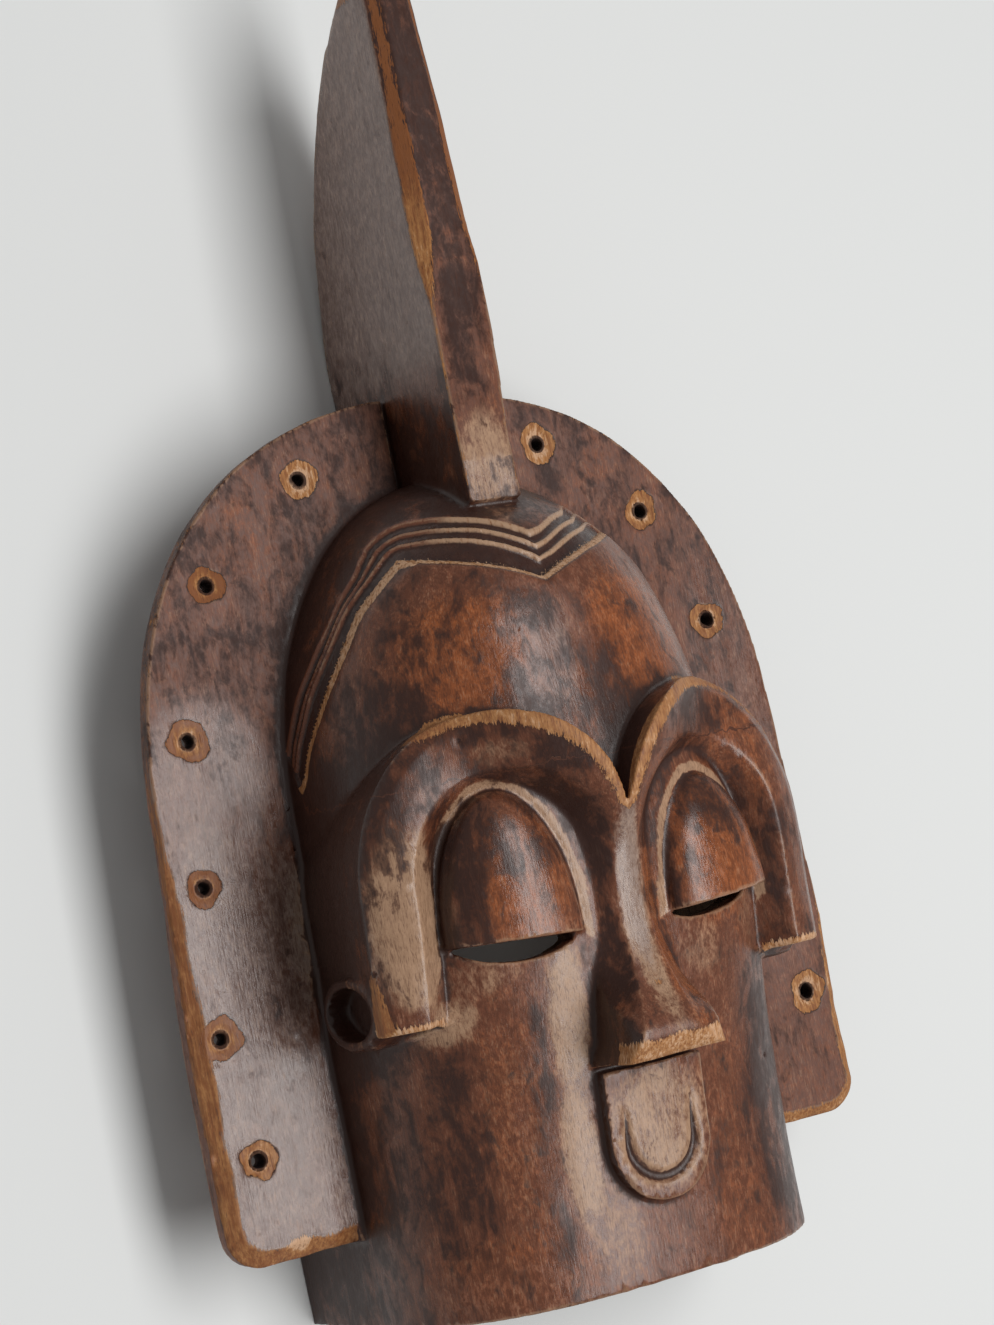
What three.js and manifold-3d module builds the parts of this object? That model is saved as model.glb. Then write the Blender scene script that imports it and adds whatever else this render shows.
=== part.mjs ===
// A carved wooden face mask with a tall crest and a flat collar, lying on its back.
// One piece of wood: a hollow trough-shaped face, two arched brows, lidded eyes, nose and mouth,
// a horseshoe collar pierced for cords, and a crest over the top of the head.
import * as THREE from 'three';
import { mergeVertices } from 'three/addons/utils/BufferGeometryUtils.js';
import Module from 'manifold-3d';

const wasm = await Module();
wasm.setup();

// Driving dimensions, in millimetres. While the mask is worked out, Y runs from the chin's lower
// edge to the tip of the crest, Z from the back rim to the nose, and X is 0 on the middle line.
const totalHeight = 490;
const wall = 10.5;
const frontWall = 13;
const collarFront = 46;
const collarThickness = 12;
const rimFlare = 8;

// Face shell: half width at the collar, and where the sides start to close over the forehead.
const chinHalfWidth = 85;
const templeHalfWidth = 81;
const templeY = 190;
const domeRise = 112;
const domeStop = THREE.MathUtils.degToRad(80);
const roundnessStations = [[0, 2.3], [95, 2.4], [145, 2.8], [175, 2.6], [215, 2.2], [300, 2.15]];
const profileStations = [
  [0, 112.5], [60, 116], [120, 127], [165, 129], [210, 124], [250, 117],
  [272, 106], [290, 82], [303, 52],
];

// Forehead panel, raised over the band of hair.
const foreheadLift = 3.5;
const foreheadLowY = 140;
const hairStations = [[195, 80.5], [204, 78.5], [224, 72], [243, 64], [254, 57], [262, 50], [267.7, 43]];
const hairCornerY = 267.7;
const hairPointY = 250.7;

// Brows: outer arch, ridge line inside it, and the foot of its inner slope.
const browEndY = 104;
const browSpringY = 150;
const browOuter = { x: 44.5, rx: 46.5, ry: 57 };
const browRidge = { x: 40, rx: 35, ry: 37 };
const browFoot = { x: 38.5, rx: 24.5, ry: 30.5 };
const browStraightPart = 0.22;
const browTurn = Math.PI * 0.93;
const browUndercut = 8;
const browCrown = { z: 149.5, x: 26, sideZ: 117.5, sideX: 52 };
const browSlopes = { toNose: 0.06, outward: 0.3, outwardFrom: 70, down: 0.08, downFrom: 155 };
const ridgeCrown = { z: 143, x: 24, sideZ: 121.5, sideX: 46 };
const ridgeRoot = { depth: 9, lowY: 142, highY: 176, innerX: 6, outerX: 30 };
const ridgeFall = { slope: 0.14, fromY: 150, innerX: 30, outerX: 60 };

// Eyes: each lid is half a dome over a slit.
const lidX = 41.4;
const lidHalfWidth = 23.8;
const lidY = 127.6;
const lidRise = 0.07;
const lidHeight = 47;
const lidBulge = 15;
const lidZ = 118.5;
const lidTilt = -0.2;
const lidSquareness = 0.8;
const slitHeight = 7.5;
const slitHalfWidth = 21;
const cutterDepth = 90;

// Nose: half width and height of its front face at stations from the bottom up.
const noseBottomY = 79;
const noseTopY = 166;
const noseWidthStations = [
  [79, 20], [90, 16], [100, 12], [110, 8.5], [120, 6.5], [135, 5.2], [148, 5.5], [166, 7],
];
const noseFrontStations = [
  [79, 145], [90, 148], [100, 144], [110, 137.5], [120, 134.5], [135, 133], [148, 134], [166, 138],
];
const noseFootSpread = 4;

// Mouth: a raised pad with a straight top and a round bottom.
const mouthTopY = 76;
const mouthBottomY = 28;
const mouthHalfWidth = 20.5;
const mouthRound = 22.5;
const mouthLift = 5;
const mouthX = 1;

// Ears: short rims on the cheeks behind the lower ends of the brows.
const earY = 113;
const earZ = 80;
const earHeight = 25;
const earDepth = 42;
const earRim = 5;
const earOut = 90.5;
const earLength = 26;
const earHollow = 7;

// Collar: a horseshoe plate half way up the sides.
const collarHalfWidth = 136;
const collarBottomY = 31.5;
const collarSpringY = 188;
const collarTopHalfWidth = 133;
const collarRise = 147.5;
const collarBackInset = 5;
const collarStraightY = 110;
const collarSquareness = 2.3;
const collarCorner = 13;
const cordHole = 7;
const cordHoles = [
  [-53, 308.5], [-97.5, 274], [-116, 219], [-120.5, 166.5], [-125, 113], [-119.5, 68.5],
  [51, 311.5], [91.5, 280], [112, 233], [121, 176], [124, 124], [122.5, 80],
];

// Crest: a tall blade on the middle line. Its side view is given by points [Y, Z].
const crestHalfWidth = 10.6;
const crestTipHalfWidth = 8.6;
const crestThinningY = 400;
const crestFoot = [284, 95.5];
const crestBackFoot = [286, 0];
const crestBackBend = [352, 0];
const crestShoulder = [458, 36];
const crestBackTop = [487, 68];
const crestFrontTop = [479, 87.5];
const crestFrontMiddle = [356, 94];
const crestInHead = [270, 60];

const smooth = (a, b, t) => THREE.MathUtils.smoothstep(t, a, b);
const signedPower = (value, power) => Math.sign(value) * Math.abs(value) ** power;

// Smooth curve through stations [at, value], with tangents from the neighbouring stations.
function along(stations, at) {
  const last = stations.length - 1;
  if (at <= stations[0][0]) return stations[0][1];
  if (at >= stations[last][0]) return stations[last][1];
  let i = 0;
  while (at > stations[i + 1][0]) i += 1;
  const slope = (k) => {
    const a = stations[Math.max(k - 1, 0)];
    const b = stations[Math.min(k + 1, last)];
    return (b[1] - a[1]) / (b[0] - a[0]);
  };
  const [x0, y0] = stations[i];
  const [x1, y1] = stations[i + 1];
  const h = x1 - x0;
  const t = (at - x0) / h;
  const rise = (y1 - y0) * t * t * (3 - 2 * t);
  return y0 + rise + h * t * (1 - t) * (slope(i) * (1 - t) - slope(i + 1) * t);
}

// A box whose points (u, v, w), each from 0 to 1, are moved to place(u, v, w).
function bentBox(segments, place) {
  const geometry = new THREE.BoxGeometry(1, 1, 1, ...segments);
  const position = geometry.attributes.position;
  for (let i = 0; i < position.count; i += 1) {
    const [x, y, z] = place(position.getX(i) + 0.5, position.getY(i) + 0.5, position.getZ(i) + 0.5);
    position.setXYZ(i, x, y, z);
  }
  return geometry;
}

function toSolid(geometry) {
  const bare = geometry.clone();
  bare.deleteAttribute('normal');
  bare.deleteAttribute('uv');
  const merged = mergeVertices(bare, 1e-3);
  return new wasm.Manifold(new wasm.Mesh({
    numProp: 3,
    vertProperties: new Float32Array(merged.attributes.position.array),
    triVerts: new Uint32Array(merged.index.array),
  }));
}

function toGeometry(manifold) {
  const mesh = manifold.getMesh();
  const geometry = new THREE.BufferGeometry();
  geometry.setAttribute('position', new THREE.BufferAttribute(new Float32Array(mesh.vertProperties), 3));
  geometry.setIndex(new THREE.BufferAttribute(new Uint32Array(mesh.triVerts), 1));
  geometry.computeVertexNormals();
  return geometry;
}

// Half width of the face at the collar's front plane.
function halfWidth(y) {
  if (y <= templeY) return THREE.MathUtils.lerp(chinHalfWidth, templeHalfWidth, smooth(90, templeY, y));
  return templeHalfWidth * Math.sqrt(Math.max(0, 1 - ((y - templeY) / domeRise) ** 2));
}

// Height of the plain face at a point, before the carving is added.
function faceZ(x, y) {
  const side = Math.min(Math.abs(x) / halfWidth(y), 1);
  const roundness = along(roundnessStations, y);
  const rise = along(profileStations, y) - collarFront;
  return collarFront + rise * (1 - side ** roundness) ** (1 / roundness);
}

// The face as a closed trough-shaped form, drawn in by the given amounts for its hollow.
function faceForm(inset, frontInset, below) {
  const rows = (v) => {
    if (v <= 0.5) return { y: THREE.MathUtils.lerp(-below, templeY, v * 2), turn: 0 };
    const turn = (v * 2 - 1) * domeStop;
    return { y: templeY + domeRise * Math.sin(turn), turn };
  };
  return bentBox([26, 22, 1], (u, v, w) => {
    const { y, turn } = rows(v);
    const roundness = along(roundnessStations, y);
    const angle = Math.PI * (1 - u);
    const across = signedPower(Math.cos(angle), 2 / roundness);
    const over = Math.sin(angle) ** (2 / roundness);
    const scale = (templeHalfWidth - inset) / templeHalfWidth;
    const half = halfWidth(y) * scale;
    const rise = along(profileStations, y) - collarFront;
    const endDrop = turn === 0 ? 0 : inset * Math.sin(turn);
    const flare = w === 0 ? rimFlare : 0;
    const x = (half + flare * Math.cos(turn)) * across;
    const z = w === 0 ? -below : collarFront + Math.max(rise - frontInset, 1) * over;
    return [x, y - endDrop + flare * 0.6 * Math.sin(turn), z];
  });
}

// The raised forehead, its sides and top on the hairline.
function forehead() {
  return bentBox([24, 12, 1], (u, v, w) => {
    const sideY = THREE.MathUtils.lerp(foreheadLowY, hairCornerY, v);
    const x = -Math.cos(Math.PI * u) * along(hairStations, sideY);
    const topY = THREE.MathUtils.lerp(hairPointY, hairCornerY, smooth(0, 38, Math.abs(x)));
    const share = (sideY - foreheadLowY) / (hairCornerY - foreheadLowY);
    const y = foreheadLowY + share * (topY - foreheadLowY);
    return [x, y, w === 0 ? collarFront + 1 : faceZ(x, y) + foreheadLift];
  });
}

// A point on one of the brow's arches: straight up its outer side, then round over the eye.
function arch(curve, u, foot) {
  if (u < browStraightPart) {
    const y = THREE.MathUtils.lerp(browEndY, browSpringY, u / browStraightPart);
    return [curve.x + curve.rx + foot * (1 - u / browStraightPart), y];
  }
  const turn = (u - browStraightPart) / (1 - browStraightPart) * browTurn;
  return [curve.x + curve.rx * Math.cos(turn), browSpringY + curve.ry * Math.sin(turn)];
}

// Height of the brow's outer edge.
function browTopZ(x, y) {
  const side = smooth(browCrown.x, browCrown.sideX, x);
  const crown = THREE.MathUtils.lerp(browCrown.z, browCrown.sideZ, side);
  const inward = browSlopes.toNose * Math.max(0, browCrown.x - x);
  const outward = browSlopes.outward * Math.max(0, x - browSlopes.outwardFrom);
  return crown + inward - outward - browSlopes.down * Math.max(0, browSlopes.downFrom - y);
}

// Height of the ridge where the brow's front face meets its inner slope.
function ridgeZ(x, y) {
  const side = smooth(ridgeCrown.x, ridgeCrown.sideX, x);
  const crown = THREE.MathUtils.lerp(ridgeCrown.z, ridgeCrown.sideZ, side);
  const nearNose = 1 - smooth(ridgeRoot.innerX, ridgeRoot.outerX, x);
  const root = ridgeRoot.depth * (1 - smooth(ridgeRoot.lowY, ridgeRoot.highY, y)) * nearNose;
  const fall = ridgeFall.slope * Math.max(0, ridgeFall.fromY - y);
  return crown - root - fall * smooth(ridgeFall.innerX, ridgeFall.outerX, x);
}

function brow() {
  const spread = 1.5;
  return bentBox([26, 2, 1], (u, v, w) => {
    const t = 1 - u;
    const outer = v > 0.75;
    const curve = v === 0 ? browFoot : (outer ? browOuter : browRidge);
    const [x, y] = arch(curve, t, outer ? 0 : spread);
    if (w === 0) return [outer && t < 0.6 ? x - browUndercut : x, y, collarFront - 4];
    if (v === 0) return [x, y, faceZ(x, y) - spread];
    return [x, y, outer ? browTopZ(x, y) : ridgeZ(x, y)];
  });
}

function nose() {
  return bentBox([2, 12, 1], (u, v, w) => {
    const y = THREE.MathUtils.lerp(noseBottomY, noseTopY, v);
    const half = along(noseWidthStations, y) + (w === 0 ? noseFootSpread : 0);
    const z = w === 0 ? collarFront + 20 : along(noseFrontStations, y);
    return [(2 * u - 1) * half, y, z];
  });
}

function lid() {
  const dome = new THREE.SphereGeometry(1, 22, 12);
  const position = dome.attributes.position;
  for (let i = 0; i < position.count; i += 1) {
    const across = position.getX(i);
    const x = lidX + lidHalfWidth * across;
    const z = lidZ + lidTilt * (x - lidX) + lidBulge * signedPower(position.getZ(i), lidSquareness);
    position.setXYZ(i, x, lidY + lidHeight * position.getY(i), z);
  }
  const above = new THREE.BoxGeometry(80, 80, 120).translate(0, 40, lidZ);
  above.rotateZ(Math.atan(lidRise)).translate(lidX, lidY, 0);
  return toSolid(dome).intersect(toSolid(above));
}

function slit() {
  const opening = new THREE.BoxGeometry(2 * slitHalfWidth, slitHeight, cutterDepth);
  opening.translate(0, -slitHeight / 2, 100).rotateZ(Math.atan(lidRise));
  return opening.translate(lidX, lidY, 0);
}

function mouth() {
  return bentBox([8, 10, 1], (u, v, w) => {
    const y = THREE.MathUtils.lerp(mouthBottomY, mouthTopY, v);
    const low = Math.max(0, mouthBottomY - 0.6 + mouthRound - y) / mouthRound;
    const x = mouthX + (2 * u - 1) * mouthHalfWidth * Math.sqrt(1 - low * low);
    return [x, y, w === 0 ? collarFront + 40 : faceZ(x, y) + mouthLift];
  });
}

function ear() {
  const outer = new THREE.CylinderGeometry(0.5, 0.5, earLength, 20).rotateZ(Math.PI / 2);
  outer.scale(1, earHeight, earDepth).translate(earOut - earLength / 2, earY, earZ);
  const inner = new THREE.CylinderGeometry(0.5, 0.5, earLength, 16).rotateZ(Math.PI / 2);
  inner.scale(1, earHeight - 2 * earRim, earDepth - 2 * earRim);
  inner.translate(earOut + earLength / 2 - earHollow, earY, earZ);
  return toSolid(outer).subtract(toSolid(inner));
}

// The collar as a flat plate: one side's outline, from the lower corner up to the crown, and its mirror.
function collar() {
  const outline = [];
  const corner = new THREE.Vector2(collarHalfWidth - collarCorner, collarBottomY + collarCorner);
  const cornerSteps = 5;
  for (let i = 0; i <= cornerSteps; i += 1) {
    const turn = Math.PI / 2 * (i / cornerSteps - 1);
    outline.push([corner.x + collarCorner * Math.cos(turn), corner.y + collarCorner * Math.sin(turn)]);
  }
  outline.push([collarHalfWidth, collarStraightY]);
  const steps = 22;
  for (let i = 0; i < steps; i += 1) {
    const turn = Math.PI / 2 * i / steps;
    const x = collarTopHalfWidth * Math.cos(turn) ** (2 / collarSquareness);
    outline.push([x, collarSpringY + collarRise * Math.sin(turn) ** (2 / collarSquareness)]);
  }
  const mirrored = outline.map(([x, y]) => [-x, y]).reverse();
  const points = [...outline, ...mirrored].map(([x, y]) => new THREE.Vector2(x, y));
  const flat = { depth: collarThickness, bevelEnabled: false };
  const plate = new THREE.ExtrudeGeometry(new THREE.Shape(points), flat);
  plate.translate(0, 0, collarFront - collarThickness);
  const position = plate.attributes.position;
  for (let i = 0; i < position.count; i += 1) {
    if (position.getZ(i) < collarFront - 1) {
      const inset = collarBackInset * smooth(130, 215, position.getY(i));
      position.setX(i, position.getX(i) * (1 - inset / collarHalfWidth));
    }
  }
  return plate;
}

function cordHoleCutter(x, y) {
  const cutter = new THREE.CylinderGeometry(cordHole / 2, cordHole / 2, 40, 10).rotateX(Math.PI / 2);
  return toSolid(cutter.translate(x, y, collarFront - collarThickness / 2));
}

// Side view of the crest: up its back, over the tip and down its front to the hair.
function crest() {
  const side = new THREE.Shape();
  side.moveTo(...crestBackFoot);
  side.lineTo(...crestBackBend);
  side.bezierCurveTo(395, 4, 435, 18, ...crestShoulder);
  side.bezierCurveTo(470, 46, 478, 56, ...crestBackTop);
  side.quadraticCurveTo(totalHeight + 5.8, 85, ...crestFrontTop);
  side.quadraticCurveTo(440, 91, ...crestFrontMiddle);
  side.lineTo(...crestFoot);
  side.lineTo(...crestInHead);
  const blade = new THREE.ExtrudeGeometry(side, { depth: 1, bevelEnabled: false, curveSegments: 8 });
  const position = blade.attributes.position;
  for (let i = 0; i < position.count; i += 1) {
    const y = position.getX(i);
    const z = position.getY(i);
    const towardsTip = smooth(crestThinningY, totalHeight, y);
    const half = THREE.MathUtils.lerp(crestHalfWidth, crestTipHalfWidth, towardsTip);
    position.setXYZ(i, (position.getZ(i) * 2 - 1) * half, y, z);
  }
  return blade;
}

function mask() {
  const both = (manifold) => manifold.add(manifold.mirror([1, 0, 0]));
  let body = toSolid(faceForm(0, 0, 0));
  const onMiddleLine = [forehead(), collar(), crest(), nose(), mouth()];
  for (const geometry of onMiddleLine) body = body.add(toSolid(geometry));
  body = body.add(both(toSolid(brow()))).add(both(lid())).add(both(ear()));
  body = body.subtract(toSolid(faceForm(wall, frontWall, 2)));
  body = body.subtract(both(toSolid(slit())));
  for (const [x, y] of cordHoles) body = body.subtract(cordHoleCutter(x, y));
  return body;
}

const wood = new THREE.MeshStandardMaterial({ color: 0x5b3a2b, roughness: 0.45, metalness: 0 });
const solid = mask();
const maskMesh = new THREE.Mesh(toGeometry(solid), wood);
maskMesh.name = 'mask';
maskMesh.position.set(0, -totalHeight / 2, 0);

const group = new THREE.Group();
group.add(maskMesh);

export default group;
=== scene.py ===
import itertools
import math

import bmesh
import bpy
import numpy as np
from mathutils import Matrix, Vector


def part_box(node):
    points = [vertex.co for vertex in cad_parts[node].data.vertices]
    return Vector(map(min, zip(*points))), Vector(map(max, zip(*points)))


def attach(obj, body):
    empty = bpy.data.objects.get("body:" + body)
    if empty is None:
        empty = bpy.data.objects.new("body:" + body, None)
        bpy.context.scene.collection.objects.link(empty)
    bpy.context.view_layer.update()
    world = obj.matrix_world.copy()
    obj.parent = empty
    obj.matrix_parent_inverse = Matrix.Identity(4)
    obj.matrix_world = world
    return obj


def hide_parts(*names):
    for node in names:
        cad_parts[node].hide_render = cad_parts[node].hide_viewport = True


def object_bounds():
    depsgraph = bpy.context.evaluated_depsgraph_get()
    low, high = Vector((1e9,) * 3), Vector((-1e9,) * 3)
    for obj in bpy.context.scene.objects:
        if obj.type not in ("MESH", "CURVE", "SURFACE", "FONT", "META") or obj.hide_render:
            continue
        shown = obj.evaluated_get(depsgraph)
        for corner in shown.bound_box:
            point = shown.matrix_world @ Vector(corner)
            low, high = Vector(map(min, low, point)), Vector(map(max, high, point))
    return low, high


bl_info = {
    "name": "Carved Wooden Face Mask",
    "version": (1, 0, 0),
    "blender": (4, 5, 0),
    "location": "View3D > Sidebar > Mask",
    "description": "Carves and finishes a wooden face mask with a crest and a pierced collar",
    "category": "Object",
}

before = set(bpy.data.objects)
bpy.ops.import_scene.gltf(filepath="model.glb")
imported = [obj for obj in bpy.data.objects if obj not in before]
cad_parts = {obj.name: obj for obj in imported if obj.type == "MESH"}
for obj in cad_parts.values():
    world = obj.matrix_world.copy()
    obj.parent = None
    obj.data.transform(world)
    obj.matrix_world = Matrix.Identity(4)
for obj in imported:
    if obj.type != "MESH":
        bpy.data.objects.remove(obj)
CAD_LOW, CAD_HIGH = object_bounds()
MASK_LOW, MASK_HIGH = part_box("mask")

# Shapes are worked out in millimetres, with Y from the chin's lower edge up to the crest's tip,
# Z from the back rim to the nose and X from the middle line, and placed in the frame at the end.
MM = 0.001
HEIGHT = (MASK_HIGH.y - MASK_LOW.y) / MM
COLLAR_HALF = MASK_HIGH.x / MM
NOSE_TIP = (MASK_HIGH.z - MASK_LOW.z) / MM

# Face: half width of its sides, its profile on the middle line, and how square its section is.
CHIN_HALF = 85.0
TEMPLE_HALF = 81.0
TEMPLE_Y = 190.0
DOME_RISE = 112.0
DOME_STOP = math.radians(80)
RIM_FLARE = 8.0
PROFILE = [(0, 112.5), (60, 116), (120, 127), (165, 129), (210, 124), (250, 117),
           (272, 106), (290, 82), (303, 52)]
ROUNDNESS = [(0, 2.3), (95, 2.4), (145, 2.8), (175, 2.6), (215, 2.2), (300, 2.15)]

# Forehead panel and the band of hair around it.
HAIR_SIDE = [(195, 80.8), (206, 79.2), (215, 76.8), (225, 73.1), (239, 66.3), (252, 58.7),
             (263, 48.4), (267.7, 43)]
HAIR_TOP = [(0, 251.8), (6, 254.6), (18, 259.4), (30, 263.5), (43, 267.7)]
HAIR_CORNER_X = 43
HAIR_CORNER_Y = 267.7
HAIR_BEVEL = [(200, 0.6), (224, 0.8), (238, 1.8), (252, 3.3), (262, 5.6)]
FOREHEAD_LOW_Y = 150.0
FOREHEAD_ARCH = (42.0, 41.0, 47.0)
FOREHEAD_LIFT = 3.5

# Three ridges of hair: distance out from the hairline, by the way along it from temple to point.
# Their point is moved to the right of the forehead's.
HAIR_RIDGES = [
    [(0, 6.5), (22, 7), (37, 7.4), (52, 6.5), (64, 5.4), (80, 5.5), (92, 6.5), (104, 8.3),
     (118, 9), (132, 8), (146, 6.2)],
    [(0, 9), (22, 10), (37, 9.6), (52, 8.7), (64, 7.6), (80, 8.8), (92, 12), (104, 14),
     (118, 14.8), (132, 13.4), (146, 11.3)],
    [(0, 12), (22, 15), (37, 14), (52, 12.5), (64, 11), (80, 13.2), (92, 18.2), (104, 20),
     (118, 20.6), (132, 19), (146, 16.3)],
]
HAIR_WAY = 146
RIDGE_SHIFT = 3.4

# Brows: centre, half width and rise of the outer edge, of the ridge and of the slope's foot, how
# they run, their heights by the nose and at the side, and the width of the worn band on them.
BROW_OUTER = (44.5, 46.5, 57.0)
BROW_RIDGE = (40.0, 35.0, 37.0)
BROW_FOOT = (38.5, 24.5, 30.5)
BROW_END_Y = 104.0
BROW_SPRING_Y = 150.0
BROW_STRAIGHT = 0.22
BROW_TURN = math.pi * 0.93
BROW_SHARE = 0.78
BROW_EDGE_Z = (149.5, 117.5)
BROW_RIDGE_Z = (143.0, 121.5)
BROW_ROOT_DROP = 9.0
BROW_UNDERCUT = 8.0
BROW_BAND = [(0, 2.6), (10, 4.6), (22, 5.6), (30, 5.6), (40, 4.6), (52, 3.4), (64, 1.9), (84, 1.2)]

# Lip under a brow's lower end: its reach in X, its height at both ends and its sag.
LIP_START = 64
LIP_LENGTH = 24
LIP_Y = (104.6, 101.6)
LIP_SAG = 2.0
LIP_HEIGHT = 1.3

# Eyelids and the slits under them.
LID_X = 41.4
LID_Y = 127.6
LID_HALF = 23.8
LID_LEFT = 52.5
LID_RIGHT = 45.5
LID_BULGE = 15.0
LID_Z = 118.5
LID_TILT = -0.2
LID_RISE = 0.07
SLIT_HALF = 22.0
SLIT_LEFT = 7.0
SLIT_RIGHT = 4.8
SLIT_SHIFT = -3.0

# Nose: half width of its front face to the left and right, of its foot, and their heights.
NOSE_LEFT = [(79, 19.5), (88, 15.6), (97, 11), (105, 8), (120, 5.4), (135, 5), (148, 6.2), (166, 9)]
NOSE_RIGHT = [(79, 19.5), (84, 10), (90, 6.4), (100, 7), (114, 6.2), (126, 5.2), (148, 6.2), (166, 9)]
NOSE_ROOT = 5.8
NOSE_FOOT = [(79, 20.2), (88, 17.6), (101, 17.2), (107, 16.5), (118, 14.4), (135, 14.6),
             (154, 15.8), (166, 19)]
NOSE_FRONT_Z = [(79, 144.5), (86.5, 149.3), (92, 148), (100, 142.5), (110, 137.5), (120, 134.5),
                (135, 133), (148, 134), (166, 139)]
NOSE_FOOT_Z = [(79, 143), (88, 145), (94, 141), (101, 132), (107, 127.5), (118, 126), (135, 125.5),
               (154, 125.5), (166, 127)]
NOSE_BOTTOM_Y = 79.0
NOSE_TOP_Y = 150.0

# Mouth pad.
MOUTH_X = 1.0
MOUTH_HALF = 20.5
MOUTH_BOTTOM_Y = 27.4
MOUTH_TOP_Y = 76.0
MOUTH_ROUND = 22.5
MOUTH_LIFT = 5.0
GROOVE_TOP_Y = 62.0
GROOVE_BOTTOM_Y = 36.0
GROOVE_HALF = 13.6
GROOVE_DEPTH = 2.0

# Ears.
EAR_Y = 113.0
EAR_Z = 80.0
EAR_HEIGHT = 25.0
EAR_DEPTH = 42.0
EAR_RIM = 2.8
EAR_OUT = 90.5
EAR_LENGTH = 26.0
EAR_HOLLOW = 9.0

# Collar and its cord holes, each at (X, Y).
COLLAR_BOTTOM_Y = 31.5
COLLAR_CORNER = 13.0
COLLAR_STRAIGHT_Y = 110.0
COLLAR_SPRING_Y = 188.0
COLLAR_TOP_HALF = 133.0
COLLAR_RISE = 147.5
COLLAR_SQUARENESS = 2.3
COLLAR_BACK_INSET = 5.0
CORD_HOLES = [
    (-53, 308.5), (-97.5, 274), (-116, 219), (-120.5, 166.5), (-125, 113), (-119.5, 68.5),
    (51, 311.5), (91.5, 280), (112, 233), (121, 176), (124, 124), (122.5, 80),
]
HOLE_FRESHNESS = [0.85, 0.2, 0.3, 0.15, 0.2, 0.6, 0.8, 0.6, 0.5, 0.45, 0.5, 0.75]

# Gap between the collar's end and the crest.
NOTCH_SIZE = (2.2, 58, 9)
NOTCH_Y = 313

# Crest: half width, how much wider its right side is, its chamfer, and its side view as Bezier
# curves through points (Y, Z).
CREST_HALF = 10.6
CREST_TIP_HALF = 8.6
CREST_LEAN = 2.3
CREST_CHAMFER = 5.2
CREST_FOOT_Y = 284.0
CREST_BACK = [
    [(286, 0), (308, 0), (330, 0), (352, 0)],
    [(352, 0), (395, 4), (435, 18), (458, 36)],
    [(458, 36), (470, 46), (478, 56), (487, 68)],
    [(487, 68), (488.7, 71.3), (489.7, 74.6), (490, 78)],
]
CREST_FRONT = [
    [(490, 78), (490, 85), (486.5, 90), (479, 91.5)],
    [(479, 91.5), (453, 94.5), (412, 96), (366, 95.2)],
    [(366, 95.2), (340, 95), (308, 95), (284, 95.5)],
]

# Small dents: place, radius and depth.
NICKS = [
    (-39.3, 232.2, 1.1, 0.7), (-49.9, 198.5, 1.0, 1.6), (-91.0, 126.0, 1.2, 1.4),
    (-126.5, 137.1, 0.9, 0.7), (-125.2, 134.0, 0.9, 0.6), (-121.6, 129.0, 0.9, 0.8),
    (-129.4, 104.5, 1.0, 0.8), (-116.8, 105.3, 1.0, 0.6), (-97.3, 106.6, 1.0, 0.6),
    (12.0, 470.0, 1.0, 0.6), (62.0, 66.0, 0.9, 0.6), (-22.0, 14.0, 0.8, 0.6),
]

# Soft patches of the patina: middle (X, Y), half sizes and strength.
RED_PATCHES = [
    (-34, 226, 26, 24, 1.0), (33, 226, 22, 26, 1.0), (0, 205, 30, 16, 0.5), (0, 420, 9, 70, 1.0),
    (-41, 148, 20, 26, 0.9), (41, 148, 22, 28, 1.1), (62, 172, 16, 26, 0.4), (-45, 62, 18, 46, 0.3),
    (-52, 15, 26, 16, 0.35), (11, 110, 7, 44, 0.7), (60, 196, 24, 16, 0.5), (40, 40, 26, 46, 0.25),
    (-84, 292, 34, 30, 0.2), (80, 290, 40, 40, 0.2),
]
TAN_PATCHES = [
    (-27, 98, 8, 30, 1.0), (-28, 50, 8, 30, 0.85), (-20, 24, 13, 22, 0.5), (0, 54, 22, 26, 0.8),
    (0, 128, 6, 44, 0.9), (-77, 142, 15, 34, 1.15), (-66, 104, 10, 9, 0.9), (-56, 118, 16, 7, 0.5),
    (30, 112, 12, 12, 0.4), (-40, 192, 12, 5, 0.5), (0, 296, 12, 24, 0.9), (4, 90, 8, 10, 0.4),
    (-92, 56, 10, 26, 0.3), (62, 118, 10, 14, 0.35), (-48, 62, 14, 40, 0.25), (40, 64, 20, 40, 0.2),
]
# Grey patches are dust together with painted sheen of the window's light, on the lower left of the collar,
# on the forehead and down the nose's bridge.
DUST_AND_SHEEN_PATCHES = [
    (-116, 110, 26, 90, 1.05), (-112, 195, 30, 42, 0.6), (-6, 222, 11, 24, 0.6),
    (116, 180, 26, 110, 0.35), (-60, 8, 30, 14, 0.3), (62, 246, 10, 24, 0.6), (0, 140, 5, 34, 0.9),
]
DARK_PATCHES = [
    (-10, 240, 12, 9, 0.6), (-66, 205, 13, 34, 0.7), (-68, 55, 14, 46, 0.45), (-39, 50, 5, 44, 0.5),
    (-36, 94, 5, 12, 0.55), (-60, 148, 8, 32, 0.9), (-84, 176, 14, 36, 1.1), (24, 144, 7, 32, 0.4),
    (-44, 200, 26, 7, 0.55), (-20, 192, 12, 14, 0.7), (46, 198, 30, 12, 0.6), (63, 48, 20, 50, 0.95),
    (-70, 112, 6, 9, 0.6), (0, 380, 7, 76, 0.8),
]

# Grid that the heights of the front are read on, and the steps of the weights for thinning.
GRID_LEFT = -150.0
GRID_LOW = -10.0
GRID_CELL = 2.0
GRID_CELLS = (152, 256)
WEIGHT_STEPS = 20

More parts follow.
